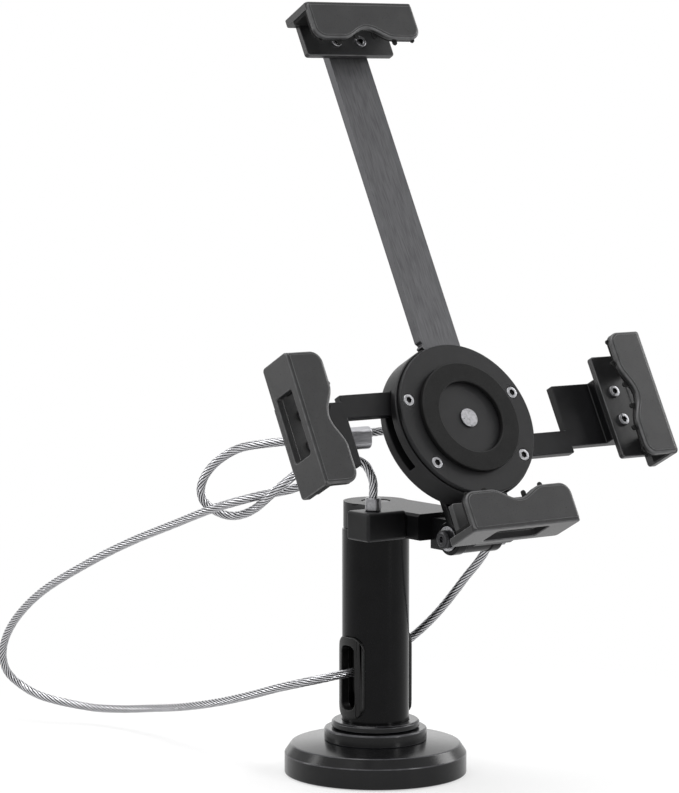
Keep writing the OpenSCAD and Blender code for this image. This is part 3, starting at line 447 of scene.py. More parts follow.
# %% Tree helper
class Tree:
    """A Geometry Nodes tree with named inputs, built node by node."""

    def __init__(self, name, inputs):
        self.group = bpy.data.node_groups.new(name, "GeometryNodeTree")
        face = self.group.interface
        face.new_socket("Geometry", in_out="OUTPUT", socket_type="NodeSocketGeometry")
        face.new_socket("Geometry", in_out="INPUT", socket_type="NodeSocketGeometry")
        self.values = {}
        for label, (kind, value) in inputs.items():
            socket = face.new_socket(label, in_out="INPUT", socket_type=kind)
            self.values[label] = [socket.identifier, value]
        self.given = self.group.nodes.new("NodeGroupInput").outputs

    def add(self, kind, **given):
        """Adds a node; given names its settings and its input sockets."""
        for prefix in ("GeometryNode", "ShaderNode", "FunctionNode"):
            if hasattr(bpy.types, prefix + kind):
                node = self.group.nodes.new(prefix + kind)
                break
        for key in [k for k in given if k.islower()]:
            setattr(node, key, given.pop(key))
        for key, value in given.items():
            self.wire(node.inputs[key], value)
        return node.outputs

    def wire(self, socket, value):
        """Links a node's output to the socket, or each of a list, or sets a constant."""
        for part in value if isinstance(value, list) else [value]:
            if isinstance(part, bpy.types.NodeSocket):
                self.group.links.new(part, socket)
            else:
                socket.default_value = part

    def maths(self, operation, *values):
        """Adds arithmetic on numbers and returns its result."""
        node = self.group.nodes.new("ShaderNodeMath")
        node.operation = operation
        for socket, value in zip(node.inputs, values):
            self.wire(socket, value)
        return node.outputs["Value"]

    def vectors(self, operation, *values):
        """Adds arithmetic on vectors and returns its result."""
        node = self.group.nodes.new("ShaderNodeVectorMath")
        node.operation = operation
        sockets = list(node.inputs)
        if operation == "SCALE":
            sockets = [node.inputs[0], node.inputs["Scale"]]
        for socket, value in zip(sockets, values):
            self.wire(socket, value)
        return node.outputs["Value" if operation == "LENGTH" else "Vector"]

    def end(self, geometry):
        """Ends the tree: what it made becomes one real mesh."""
        real = self.add("RealizeInstances", Geometry=geometry)
        out = self.group.nodes.new("NodeGroupOutput")
        self.group.links.new(real["Geometry"], out.inputs["Geometry"])

    def grow(self, name, seed, **changes):
        """Runs the tree on an object and returns the plain mesh it makes."""
        modifier = seed.modifiers.new(name, "NODES")
        modifier.node_group = self.group
        for label, (identifier, value) in self.values.items():
            modifier[identifier] = changes.get(label.lower(), value)
        mesh = baked(seed, name)
        old = seed.data
        bpy.data.objects.remove(seed)
        bpy.data.batch_remove([old])
        return mesh


print("trees so far:", len(bpy.data.node_groups))

# %% [markdown]
# ## Tether cable
# On the real stand this is a 4 mm steel rope: strands of thin wire wound round a core,
# with a plug crimped on one end and an eye at the other. A tube with a striped bump would
# do from afar, but its outline would be smooth, and the photo shows the strands bulging.
# So nine real strands and a core follow the CAD's own route, point for point, and each
# strand goes round the middle line once every 26 mm. A strand keeps its steel colour on its
# outward side only; the grooves between strands get painted shade, a dark colour placed by
# the attribute "outward" on the mesh.

# %% Cable route
CABLE_D = 4.0 * MM
SAMPLES, RING_STEP = 6000, 1.0 * MM
ROUTE = [
    [-28, -34, 134], [-28.3, -34, 142], [-32, -32, 149.5], [-40, -27, 152],
    [-49, -20, 147], [-54, -12, 138.5], [-65, 4, 133.5], [-78, 19, 127.5],
    [-79, 50, 117], [-79.5, 85, 105], [-82.5, 118, 91], [-84, 155, 73.5],
    [-82, 183, 56.5], [-78, 202, 40.5], [-73.5, 209, 27.5], [-67.5, 207, 19],
    [-61.5, 192, 13], [-47, 174, 9], [-40, 155, 10], [-37.5, 130, 14], [-40, 98, 20],
    [-41, 68, 27], [-41, 43, 34], [-39.1, 24, 40], [-34.7, 12, 43.7],
    [-28.2, 5.5, 45.8], [-19.4, 2.2, 47.3], [-9.1, 0.6, 48.5], [3, 1.6, 50.9],
    [13.2, 2, 55], [20.6, 0.2, 60.3], [25.6, -5.9, 67.6], [29.4, -13, 76.2],
    [32.5, -24, 89.5], [39, -34, 106.5], [41, -36, 127], [37, -31, 146],
    [24, -20, 157], [8, -12, 160.7], [-10, -10, 160.1], [-32, -10, 160.1],
    [-47.5, -7.5, 159], [-62, 4, 157], [-68.5, 13, 154.5], [-73, 22, 148.8],
    [-75.2, 28.8, 142], [-75.6, 32.5, 135], [-74, 32.2, 129], [-71.5, 27.5, 125.2],
    [-69.3, 20, 123.5], [-67.5, 12, 124.6], [-66, 3, 128.5], [-66, -10, 136.5],
    [-58.5, -15, 144], [-47, -14.2, 151], [-38, -11.4, 154.3], [-30, -10, 155.9],
    [-22, -10, 155.9], [-14, -10, 155.9]]


def spline_point(points, s):
    """Catmull-Rom point at place s, counted in points along the route."""
    last = len(points) - 1
    i = min(last - 1, int(s))
    a, b, c, d = (points[max(0, min(last, k))] for k in (i - 1, i, i + 1, i + 2))
    t = s - i
    return 0.5 * (2 * b + (c - a) * t + (2 * a - 5 * b + 4 * c - d) * t * t
                  + (3 * b - a - 3 * c + d) * t * t * t)


def even_path(points, step):
    """The route resampled at an even step, with its length."""
    dense = np.array([spline_point(points, (len(points) - 1) * k / SAMPLES)
                      for k in range(SAMPLES + 1)])
    run = np.r_[0, np.cumsum(np.linalg.norm(np.diff(dense, axis=0), axis=1))]
    places = np.linspace(0, run[-1], int(run[-1] / step) + 1)
    return np.column_stack([np.interp(places, run, dense[:, k]) for k in range(3)]), run[-1]


path, cable_length = even_path(np.array(ROUTE, float) * MM, RING_STEP)
print("cable: %.3f m, %d rings" % (cable_length, len(path)))

# %% The winding tree
STRANDS, STRAND_SIDES = 9, 6
LAY = 26.0 * MM
PITCH_ANGLE = math.pi / STRANDS
STRAND_R = CABLE_D / 2 * math.sin(PITCH_ANGLE) / (1 + math.sin(PITCH_ANGLE))
WIND_R = CABLE_D / 2 - STRAND_R

wind = Tree("wound_cable", {"Lay": ("NodeSocketFloat", LAY),
                            "Winding radius": ("NodeSocketFloat", WIND_R),
                            "Strand radius": ("NodeSocketFloat", STRAND_R),
                            "Strands": ("NodeSocketInt", STRANDS),
                            "Sides": ("NodeSocketInt", STRAND_SIDES)})
middle = wind.add("StoreNamedAttribute", data_type="FLOAT_VECTOR", Name="middle",
                  Geometry=wind.given["Geometry"],
                  Value=wind.add("InputPosition")["Position"])
copies = wind.add("DuplicateElements", domain="SPLINE", Geometry=middle["Geometry"],
                  Amount=wind.given["Strands"])
share = wind.maths("DIVIDE", copies["Duplicate Index"], wind.given["Strands"])
along = wind.maths("DIVIDE", wind.add("SplineParameter")["Length"], wind.given["Lay"])
angle = wind.maths("MULTIPLY", wind.maths("ADD", share, along), 2 * math.pi)
normal = wind.add("InputNormal")["Normal"]
binormal = wind.vectors("CROSS_PRODUCT", wind.add("InputTangent")["Tangent"], normal)
outward = wind.vectors("ADD", wind.vectors("SCALE", normal, wind.maths("COSINE", angle)),
                       wind.vectors("SCALE", binormal, wind.maths("SINE", angle)))
wound = wind.add("SetPosition", Geometry=copies["Geometry"],
                 Offset=wind.vectors("SCALE", outward, wind.given["Winding radius"]))
both = wind.add("JoinGeometry", Geometry=[wound["Geometry"], middle["Geometry"]])
section = wind.add("CurvePrimitiveCircle", Resolution=wind.given["Sides"],
                   Radius=wind.given["Strand radius"])
strand = wind.add("CurveToMesh", Curve=both["Geometry"],
                  **{"Profile Curve": section["Curve"], "Fill Caps": True})
nearest = wind.add("InputNamedAttribute", data_type="FLOAT_VECTOR", Name="middle")
gap = wind.vectors("SUBTRACT", wind.add("InputPosition")["Position"], nearest["Attribute"])
height = wind.maths("DIVIDE", wind.vectors("LENGTH", gap), CABLE_D / 2)
marked = wind.add("StoreNamedAttribute", data_type="FLOAT", Name="outward",
                  Geometry=strand["Mesh"], Value=height)
clean = wind.add("RemoveAttribute", Geometry=marked["Geometry"], Name="middle")
wind.end(clean["Geometry"])
print("winding tree:", len(wind.group.nodes), "nodes")

# %% Wind the strands
def polyline(name, points, closed=False):
    """A curve object that passes straight through the points."""
    curve = bpy.data.curves.new(name, "CURVE")
    curve.dimensions = "3D"
    spline = curve.splines.new("POLY")
    spline.use_cyclic_u = closed
    spline.points.add(len(points) - 1)
    spline.points.foreach_set("co", np.column_stack(
        [points, np.ones(len(points))]).ravel())
    return in_scene(name, curve)


def faces_outward(mesh):
    """Turns every face of a closed mesh to the outside."""
    work = bmesh.new()
    work.from_mesh(mesh)
    bmesh.ops.recalc_face_normals(work, faces=work.faces)
    work.to_mesh(mesh)
    work.free()


rope_mesh = wind.grow("tether_cable", polyline("route", path))
faces_outward(rope_mesh)
smooth(rope_mesh, 60)
rope = in_scene("tether_cable", rope_mesh)
print("strands:", STRANDS, "faces:", len(rope_mesh.polygons))

# %% The cable's finish
GROOVE_SHADE_END, CREST_START = 0.88, 0.995
GROOVE_SHADE_COLOUR, CREST_COLOUR = (0.035, 0.035, 0.038), (0.62, 0.62, 0.64)
WIRE_GRAIN, WIRE_BUMP, WIRE_DEPTH = 3000, 0.3, 0.00004
rope_steel, tree, shader = new_material("cable_steel")
shader.inputs["Metallic"].default_value = 0.9
# Painted shade: the strands turn dark towards the core, in the grooves between them.
outer = spread(tree, stored(tree, "outward"), 0, 1, GROOVE_SHADE_END, CREST_START)
tree.links.new(tint(tree, outer, GROOVE_SHADE_COLOUR, CREST_COLOUR), shader.inputs["Base Color"])
wires = noise(tree, WIRE_GRAIN, 2)
tree.links.new(spread(tree, wires, 0.18, 0.36), shader.inputs["Roughness"])
bump(tree, shader, wires, WIRE_BUMP, WIRE_DEPTH)
FINISH["cable_steel"] = rope_steel
place(rope, ["cable"], "cable_steel")
print("cable finish:", rope_steel.name)

# %% The cable's fittings
FITTING_ROUND = 0.6
looks = {node: dress(node, FITTING_ROUND) for node in ("cable_plug", "cable_ferrule")}
print("cable declared, diameter %.1f mm" % (CABLE_D / MM))

# %% [markdown]
# ## Base cover, collar and ring
# The cover, the collar and the ring are spun or turned parts, with crisp but rounded
# shoulders that draw bright circles in the photo. Rounding their CAD meshes would keep the
# facets, so each is a profile swept once round the post's axis in fine steps, its corners
# rounded with short arcs first. This is what a lathe does too. The arcs' points carry the
# edge mark, where the finish paints the rim lighter: part wear, part painted highlight.

# %% Profiles with rounded corners
ARC_STEPS = 5


def arc_corner(before, corner, after, radius):
    """Points of the arc that rounds one corner of a profile."""
    corner = Vector(corner)
    a, b = Vector(before) - corner, Vector(after) - corner
    reach = min(radius / math.tan(a.angle(b) / 2), a.length * 0.49, b.length * 0.49)
    start, end = corner + a.normalized() * reach, corner + b.normalized() * reach
    points = []
    for k in range(ARC_STEPS + 1):
        t = k / ARC_STEPS
        points.append((1 - t) ** 2 * start + 2 * t * (1 - t) * corner + t ** 2 * end)
    return points


def rounded_profile(points, radii):
    """A closed profile in (radius, height) with each corner rounded by its radius, and
    a flag for each point that lies inside a round."""
    made, flags = [], []
    for i, (p, r) in enumerate(zip(points, radii)):
        arc = [Vector(p)]
        if r:
            arc = arc_corner(points[i - 1], p, points[(i + 1) % len(points)], r)
        made += arc
        flags += [0 < k < len(arc) - 1 for k in range(len(arc))]
    return made, flags


print("a rounded corner has", ARC_STEPS + 1, "points")

# %% The turning tree
TURNING_R = 20.0 * MM
SAME_PLACE = 0.02 * MM
turning = Tree("turned_ring", {"Turning radius": ("NodeSocketFloat", TURNING_R),
                               "Facets": ("NodeSocketInt", 128)})
circle_path = turning.add("CurvePrimitiveCircle", Resolution=turning.given["Facets"],
                          Radius=turning.given["Turning radius"])
turned = turning.add("CurveToMesh", Curve=circle_path["Curve"],
                     **{"Profile Curve": turning.given["Geometry"]})
turning.end(turned["Mesh"])


def lathe(name, points, radii, facets):
    """A closed ring: the profile, in millimetres, swept once round the Z axis."""
    profile, flags = rounded_profile(points, radii)
    seed = polyline(name, [(p[0] * MM - TURNING_R, -p[1] * MM, 0) for p in profile], True)
    mesh = turning.grow(name, seed, facets=facets)
    # Points in the rounded arcs get the edge mark, painted lighter as wear and painted
    # highlight.
    wear_and_highlight = [p * MM for p, flag in zip(profile, flags) if flag]
    store(mesh, EDGE, [any(abs(math.hypot(v.co.x, v.co.y) - p[0]) < SAME_PLACE
                           and abs(v.co.z - p[1]) < SAME_PLACE for p in wear_and_highlight)
                       for v in mesh.vertices])
    faces_outward(mesh)
    obj = in_scene(name, mesh)
    smooth(mesh, 35)
    even_normals(obj)
    return obj


print("turning tree:", len(turning.group.nodes), "nodes")

# %% Turn the cover, collar and ring
BASE_R, BASE_IN, RIM_LOW, RIM_TOP = 42.3, 39.1, 0.3, 9.6
CROWN_R, CROWN_Z, ROOF_Z, BOLT_HOLE = 39.3, 14.0, 8.9, 4.1
TUBE_HOLE, COLLAR_R, COLLAR_Z, COLLAR_TOP = 15.65, 23.8, 15.7, 21.3
RING_R, RING_SLANT, RING_TOP = 20.4, 0.8, 24.9
PROFILES = {
    "base_cover": ([(BASE_IN, RIM_LOW), (BASE_R, RIM_LOW), (BASE_R, RIM_TOP),
                    (CROWN_R, CROWN_Z), (23.0, 15.66), (BOLT_HOLE, COLLAR_Z),
                    (BOLT_HOLE, ROOF_Z), (BASE_IN, ROOF_Z)],
                   [0, 0.4, 1.3, 1.1, 0, 0, 0, 0.5], 160),
    "lower_collar": ([(TUBE_HOLE, COLLAR_Z), (COLLAR_R, COLLAR_Z),
                      (COLLAR_R, COLLAR_TOP), (TUBE_HOLE, COLLAR_TOP)],
                     [0, 0.3, 1.0, 0.3], 128),
    "upper_ring": ([(TUBE_HOLE, COLLAR_TOP), (RING_R - RING_SLANT, COLLAR_TOP),
                    (RING_R, COLLAR_TOP + RING_SLANT), (RING_R, RING_TOP - RING_SLANT),
                    (RING_R - RING_SLANT, RING_TOP), (TUBE_HOLE, RING_TOP)],
                   [0, 0, 0.4, 0.5, 0.5, 0.4], 128),
}
# The base's pieces take the lighter copy of the black paint, painted lighter for the light
# they catch.
for node, (points, radii, facets) in PROFILES.items():
    place(lathe(node + "_look", points, radii, facets), [node], "black_paint",
          "base_paint")
print("turned pieces:", list(PROFILES))

# %% [markdown]
# ## The other solid pieces
# The neck arm and the lock's case are castings with soft edges, the bracket and the arms
# are cut from plate, the pads are moulded rubber, and bolts, nuts and washers have only a
# thin chamfer. They could be modelled again by hand, but the solids already have the right
# shape, so each is dressed: its real edges get a rounding of its own width, in millimetres,
# and the rounds carry the edge mark that the finishes paint lighter, part wear and part
# painted highlight. One width for all would swallow the washers or leave the castings
# looking sharp.

# %% Dress the CAD pieces
ROUNDS = {
    "base_pad": 0.3, "base_plate": 0.3, "post_tube": 0.35, "post_foot_plug": 0.2,
    "post_bolt": 0.3, "post_top_plug": 0.2, "left_grommet": 0.45, "right_grommet": 0.45,
    "neck_arm": 0.9, "neck_bolt": 0.5, "cable_lock_body": 1.4, "cable_lock_barrel": 0.3,
    "tilt_bracket": 0.7, "tilt_bolt": 0.5, "tilt_left_washer": 0.15,
    "tilt_right_washer": 0.15, "tilt_nut": 0.5, "swivel_bolt": 0.4, "swivel_washer": 0.15,
    "swivel_nut": 0.5, "hub_housing": 0.6, "hub_cover": 0.6, "hub_ring_pad": 0.7,
    "pinion_axle": 0.2, "pinion": 0.1, "arm_lock_barrel": 0.25, "catch_bar": 0.2,
    "bottom_arm": 0.5, "top_arm": 0.5, "left_arm": 0.5, "right_arm": 0.5, "top_pad": 0.3,
    "bottom_pad": 0.3, "left_pad": 0.3, "right_pad": 0.3,
}
for node in sorted(ROUNDS):
    looks[node] = dress(node, ROUNDS[node])
print("dressed:", len(looks), "pieces,",
      sum(len(o.data.polygons) for o in looks.values()), "faces")

# %% [markdown]
# ## Screws
# Fourteen small plated screws hold the hub's cover, the bottom arm and the jaws. They
# are one part, so one head is modelled, with a rounded rim and a six-sided socket, and a
# node tree sets a copy on every screw's place, each turned to a chance angle as a real
# screw stops where it is tight. Fourteen separate models would say the same at length.
# The places are measured from the CAD screws in the hub's own frame, in millimetres, where
# every screw points along Y. Little light gets into a socket, so its points carry a 1 as
# their "recess".

# %% One screw head
HEAD_FACETS, ROUND_STEPS = 36, 4
HEAD_ROUND = 0.35
SOCKET_FLAT, SOCKET_TAPER, SOCKET_MOUTH = 1.25, 0.96, 1.12
SOCKET_SHARE, SOCKET_LEAD = 0.55, 0.15
SHADED_SOCKET_RINGS, UNDERSIDE = 2, 0.9


def head_mesh(radius, height, shank):
    """A round head with a six-sided socket, top at Z = 0, in metres."""
    angles = [2 * math.pi * k / HEAD_FACETS for k in range(HEAD_FACETS)]
    hexagon = [SOCKET_FLAT / math.cos((g + math.pi / 6) % (math.pi / 3) - math.pi / 6)
               for g in angles]
    rows = [([SOCKET_TAPER * r for r in hexagon], -SOCKET_SHARE * height),
            (hexagon, -SOCKET_LEAD), ([r * SOCKET_MOUTH for r in hexagon], 0),
            ([radius - HEAD_ROUND] * HEAD_FACETS, 0)]
    for k in range(1, ROUND_STEPS + 1):
        g = math.pi / 2 * k / ROUND_STEPS
        rows.append(([radius - HEAD_ROUND * (1 - math.sin(g))] * HEAD_FACETS,
                     -HEAD_ROUND * (1 - math.cos(g))))
    rows += [([r] * HEAD_FACETS, -height) for r in (radius, shank * UNDERSIDE)]
    work = bmesh.new()
    rings = [[work.verts.new((r * MM * math.cos(g), r * MM * math.sin(g), z * MM))
              for r, g in zip(radii, angles)] for radii, z in rows]
    for low, high in zip(rings, rings[1:]):
        for k in range(HEAD_FACETS):
            m = (k + 1) % HEAD_FACETS
            work.faces.new((low[k], low[m], high[m], high[k]))
    for loop in (rings[0], rings[-1]):
        work.faces.new(loop)
    bmesh.ops.recalc_face_normals(work, faces=work.faces)
    mesh = bpy.data.meshes.new("screw_head")
    work.to_mesh(mesh)
    work.free()
    # The socket's floor and taper are marked as a recess, which the finish paints dark as
    # painted shade.
    store(mesh, RECESS, [v.index < SHADED_SOCKET_RINGS * HEAD_FACETS for v in mesh.vertices])
    return mesh


print("screw head:", HEAD_FACETS, "facets")

# %% Where the screws are
LEAN = math.radians(28)
TILT_AXIS, HUB_FROM_AXIS = (0, -69, 118), (0, -35.5, 47.5)
HUB = (Matrix.Translation(TILT_AXIS) @ Matrix.Rotation(-LEAN, 4, "X")
       @ Matrix.Translation(HUB_FROM_AXIS))
NEAR = 0.1


def hub_points(node):
    """A CAD piece's points in the hub's frame, in millimetres."""
    back = HUB.inverted() @ Matrix.Scale(1 / MM, 4)
    return np.array([back @ v.co for v in NODES[node].data.vertices])


def screw_facts(node):
    """Head centre, outward direction, length, and the head's radius and height."""
    points = hub_points(node)
    low, high = points.min(axis=0), points.max(axis=0)
    centre = (low + high) / 2
    radius = np.hypot(points[:, 0] - centre[0], points[:, 2] - centre[2])
    wide = points[radius > radius.max() - NEAR, 1]
    front = abs(wide.min() - low[1]) < NEAR
    top = low[1] if front else high[1]
    return {"at": (centre[0], top, centre[2]), "aim": (0, -1 if front else 1, 0),
            "length": high[1] - low[1], "head": radius.max(),
            "height": wide.max() - wide.min()}


SCREWS = sorted(node for node in NODES if "screw" in node)
facts = {node: screw_facts(node) for node in SCREWS}
SHANK_R, SHANK_START = 1.5, 1.05
first = facts[SCREWS[0]]
print("screws:", len(SCREWS), {k: np.round(v, 2).tolist() for k, v in first.items()})

# %% The screw tree
row = Tree("screw_row", {"Head": ("NodeSocketObject", None),
                         "Shank radius": ("NodeSocketFloat", SHANK_R * MM),
                         "Start": ("NodeSocketFloat", SHANK_START * MM),
                         "Seed": ("NodeSocketInt", 7)})
places, start = row.given["Geometry"], row.given["Start"]
aim = row.add("InputNamedAttribute", data_type="FLOAT_VECTOR", Name="aim")["Attribute"]
long = row.add("InputNamedAttribute", data_type="FLOAT", Name="length")["Attribute"]
straight = row.add("AlignRotationToVector", axis="Z", Vector=aim)
chance = row.add("RandomValue", data_type="FLOAT", Seed=row.given["Seed"])
spin = row.add("AxisAngleToRotation", Axis=(0, 0, 1),
               Angle=row.maths("MULTIPLY", chance[1], 2 * math.pi))
turned = row.add("RotateRotation", rotation_space="LOCAL", Rotation=straight["Rotation"],
                 **{"Rotate By": spin["Rotation"]})
head = row.add("ObjectInfo", Object=row.given["Head"])
heads = row.add("InstanceOnPoints", Points=places, Instance=head["Geometry"],
                Rotation=turned["Rotation"])
rod = row.add("MeshCylinder", Vertices=20, Depth=1.0, Radius=row.given["Shank radius"])
lowered = row.add("Transform", Geometry=rod["Mesh"], Translation=(0, 0, -0.5))
reach = row.add("CombineXYZ", X=1.0, Y=1.0, Z=row.maths("SUBTRACT", long, start))
sunk = row.add("SetPosition", Geometry=places,
               Offset=row.vectors("SCALE", aim, row.maths("MULTIPLY", start, -1)))
shanks = row.add("InstanceOnPoints", Points=sunk["Geometry"], Instance=lowered["Geometry"],
                 Rotation=turned["Rotation"], Scale=reach["Vector"])
pair = row.add("JoinGeometry", Geometry=[heads["Instances"], shanks["Instances"]])
row.end(pair["Geometry"])
print("screw tree:", len(row.group.nodes), "nodes")

# %% Set the screws, one mesh for each body
head_object = in_scene("screw_head", head_mesh(first["head"], first["height"], SHANK_R))
for body in sorted({body_of(node) for node in SCREWS}):
    group = [node for node in SCREWS if body_of(node) == body]
    seed_mesh = bpy.data.meshes.new("seed")
    seed_mesh.from_pydata([(HUB @ Vector(facts[n]["at"])) * MM for n in group], [], [])
    store(seed_mesh, "aim", [HUB.to_3x3() @ Vector(facts[n]["aim"]) for n in group],
          "FLOAT_VECTOR")
    store(seed_mesh, "length", [facts[n]["length"] * MM for n in group])
    mesh = row.grow("screws_" + body, in_scene("seed", seed_mesh), head=head_object)
    for extra in ("aim", "length"):
        mesh.attributes.remove(mesh.attributes[extra])
    smooth(mesh, 35)
    place(in_scene("screws_" + body, mesh), group, "steel")
    print("screws on", body, len(group), "faces", len(mesh.polygons))
bpy.data.objects.remove(head_object)

# %% [markdown]
# ## Jaws
# The four jaws are one moulded part used four times: an outer wall with a window, a wavy
# front lip with a raised face, and a foot that the arm is screwed to. They are the nearest
# things to the eye in the photo, with soft moulded rims that a bevel on the CAD mesh can't
# give: it breaks up where the dip of the lip meets the wall. Each part of a jaw is a flat
# plate with rounded rims, so one helper makes a plate from its outline: it stacks inset
# copies of the outline and fills the two flat faces. A boolean union then joins the plates
# into one closed skin, as in the mould.

# %% Outlines
HOLE_FACETS = 24


def inset(points, amount):
    """The outline moved inward, each corner along its mitre."""
    p = np.array(points, float)
    along = np.roll(p, -1, axis=0) - p
    along /= np.linalg.norm(along, axis=1)[:, None]
    inward = np.column_stack([-along[:, 1], along[:, 0]])
    before = np.roll(inward, 1, axis=0)
    scale = 1 + (inward * before).sum(axis=1)
    return p + amount * (inward + before) / scale[:, None]


def round_box(x0, x1, y0, y1, radii, steps=6):
    """A rectangle's outline with its four corners rounded, anticlockwise."""
    corners = [(x0, y0), (x1, y0), (x1, y1), (x0, y1)]
    points = []
    for k, r in enumerate(radii):
        cx = corners[k][0] + (r if k in (0, 3) else -r)
        cy = corners[k][1] + (r if k in (0, 1) else -r)
        if not r:
            points.append(corners[k])
            continue
        for i in range(steps + 1):
            g = math.pi + k * math.pi / 2 + math.pi / 2 * i / steps
            points.append((cx + r * math.cos(g), cy + r * math.sin(g)))
    return points


def hole(x, y, r):
    """The outline of a round hole."""
    return [(x + r * math.cos(2 * math.pi * k / HOLE_FACETS),
             y + r * math.sin(2 * math.pi * k / HOLE_FACETS)) for k in range(HOLE_FACETS)]


print("a hole has", HOLE_FACETS, "points")

# %% Plates with rounded rims
RIM_STEPS, TINY = 4, 0.01


def rims(low, high, rim_low, rim_high):
    """Insets and heights of the stacked outlines, from the low face to the high one."""
    rows = []
    for k in range(RIM_STEPS + 1 if rim_low else 1):
        g = math.pi / 2 * k / RIM_STEPS if rim_low else math.pi / 2
        rows.append((rim_low * (1 - math.sin(g)), low + rim_low * (1 - math.cos(g))))
    for k in range(RIM_STEPS + 1 if rim_high else 1):
        g = math.pi / 2 * k / RIM_STEPS if rim_high else 0
        rows.append((rim_high * (1 - math.cos(g)), high - rim_high * (1 - math.sin(g))))
    return rows


def plate(name, outline, low, high, rim_low, rim_high, holes=(), turn=None):
    """A plate in millimetres: outline in X and Y, thickness along Z, then turned."""
    work = bmesh.new()
    wear_and_highlight = work.verts.layers.float.new(EDGE)
    firsts, lasts = [], []
    for points, sign in [(outline, 1)] + [(h, -1) for h in holes]:
        loops = []
        for amount, height in rims(low, high, rim_low, rim_high):
            loops.append([work.verts.new((x, y, height))
                          for x, y in inset(points, sign * amount)])
            # Points on the rounded rim get the edge mark, painted lighter as wear and
            # painted highlight.
            for v in loops[-1]:
                v[wear_and_highlight] = float(low + TINY < height < high - TINY and amount > TINY)
        for lower, upper in zip(loops, loops[1:]):
            for k in range(len(lower)):
                m = (k + 1) % len(lower)
                work.faces.new((lower[k], lower[m], upper[m], upper[k]))
        firsts.append(loops[0])
        lasts.append(loops[-1])
    for loops in (firsts, lasts):
        corners = [v for loop in loops for v in loop]
        for three in tessellate_polygon([[v.co for v in loop] for loop in loops]):
            work.faces.new([corners[k] for k in three])
    bmesh.ops.recalc_face_normals(work, faces=work.faces)
    if turn is not None:
        bmesh.ops.transform(work, matrix=turn, verts=work.verts)
    mesh = bpy.data.meshes.new(name)
    work.to_mesh(mesh)
    work.free()
    return in_scene(name, mesh)


print("a rim has", RIM_STEPS, "steps")

# %% The jaw's plates
LIP_L, LIP_H, LIP_LOW, LIP_BACK, LIP_FRONT = 60.4, 18.5, 0.3, 1.2, 4.0
LIP_CORNER, LIP_ROUND, LIP_RIM, FACE_GAP = 1.8, 5.5, 1.0, 0.35
FACE_BACK, FACE_INSET = 2.0, 1.3
DIP, DIP_HALF, WAVE_HALF, WAVE_POINTS = 5.2, 14.5, 16.5, 45
WALL_BOX, WALL_T = (-30.5, 30.5, -3.6, 15.3), 3.5
WALL_RIMS, WALL_CORNERS = (0.6, 0.3), (1.8, 1.8, 1.8, 1.8)
WINDOW, WINDOW_CORNERS = (-15, 15, 0.1, 12.0), (1.3, 1.3, 1.3, 1.3)
FOOT_BOX, FOOT_CORNERS, FOOT_RIM = (-25, 25, 0.6, 19.0), (0, 0, 1.5, 1.5), 0.5
FOOT_BACK, FOOT_FRONT = -15.3, -12.3
SCREW_X, SCREW_Y, SCREW_HOLE_R = 7, 12, 1.56


def lip_outline(face_inset):
    """The wavy lip, seen from the front, moved inward by face_inset."""
    half = LIP_L / 2
    wave = [(a, LIP_H - (DIP * (1 + math.cos(math.pi * a / DIP_HALF)) / 2
                         if abs(a) < DIP_HALF else 0))
            for a in np.linspace(WAVE_HALF, -WAVE_HALF, WAVE_POINTS)]
    points = round_box(-half, half, LIP_LOW, LIP_H,
                       (LIP_CORNER, LIP_CORNER, LIP_ROUND, LIP_ROUND), 8)
    right = [p for p in points if p[0] > 0]
    left = [p for p in points if p[0] < 0]
    low_first = [p for p in left if p[1] < LIP_H / 2]
    high_last = [p for p in left if p[1] > LIP_H / 2]
    return inset(low_first + right + wave + high_last, face_inset)


upright = Matrix.Rotation(math.pi / 2, 4, "X")
wall = plate("wall", round_box(*WALL_BOX, WALL_CORNERS, 8), 0, WALL_T, *WALL_RIMS,
             holes=[round_box(*WINDOW, WINDOW_CORNERS)])
lip = plate("lip", lip_outline(0), LIP_BACK, LIP_FRONT - FACE_GAP, FACE_GAP, LIP_RIM,
            turn=upright)
face = plate("face", lip_outline(FACE_INSET), FACE_BACK, LIP_FRONT, 0, FACE_GAP,
             turn=upright)
foot = plate("foot", round_box(*FOOT_BOX, FOOT_CORNERS), FOOT_BACK, FOOT_FRONT,
             FOOT_RIM, FOOT_RIM, turn=upright,
             holes=[hole(s * SCREW_X, SCREW_Y, SCREW_HOLE_R) for s in (-1, 1)])
print("plates:", [len(part.data.polygons) for part in (wall, lip, face, foot)], "faces")

# %% Join the plates
MARK_REACH = 0.01


def fused(name, parts):
    """Joins closed parts into one skin with boolean unions."""
    first = parts[0]
    for other in parts[1:]:
        join = first.modifiers.new("join", "BOOLEAN")
        join.operation = "UNION"
        join.solver = "EXACT"
        join.object = other
    mesh = baked(first, name)
    for part in parts:
        old = part.data
        bpy.data.objects.remove(part)
        bpy.data.meshes.remove(old)
    return mesh


# The rims' marks carry over to the joined skin, where the finish paints them lighter as
# wear and painted highlight.
rim_points = [v.co.copy() for part in (wall, lip, face, foot)
              for v, mark in zip(part.data.vertices, part.data.attributes[EDGE].data)
              if mark.value > 0.5]
jaw_mesh = fused("jaw", [wall, lip, face, foot])
near = KDTree(len(rim_points))
for k, point in enumerate(rim_points):
    near.insert(point, k)
near.balance()
jaw_mesh.attributes.remove(jaw_mesh.attributes[EDGE])
store(jaw_mesh, EDGE, [near.find(v.co)[2] < MARK_REACH for v in jaw_mesh.vertices])
print("jaw:", len(jaw_mesh.polygons), "faces")

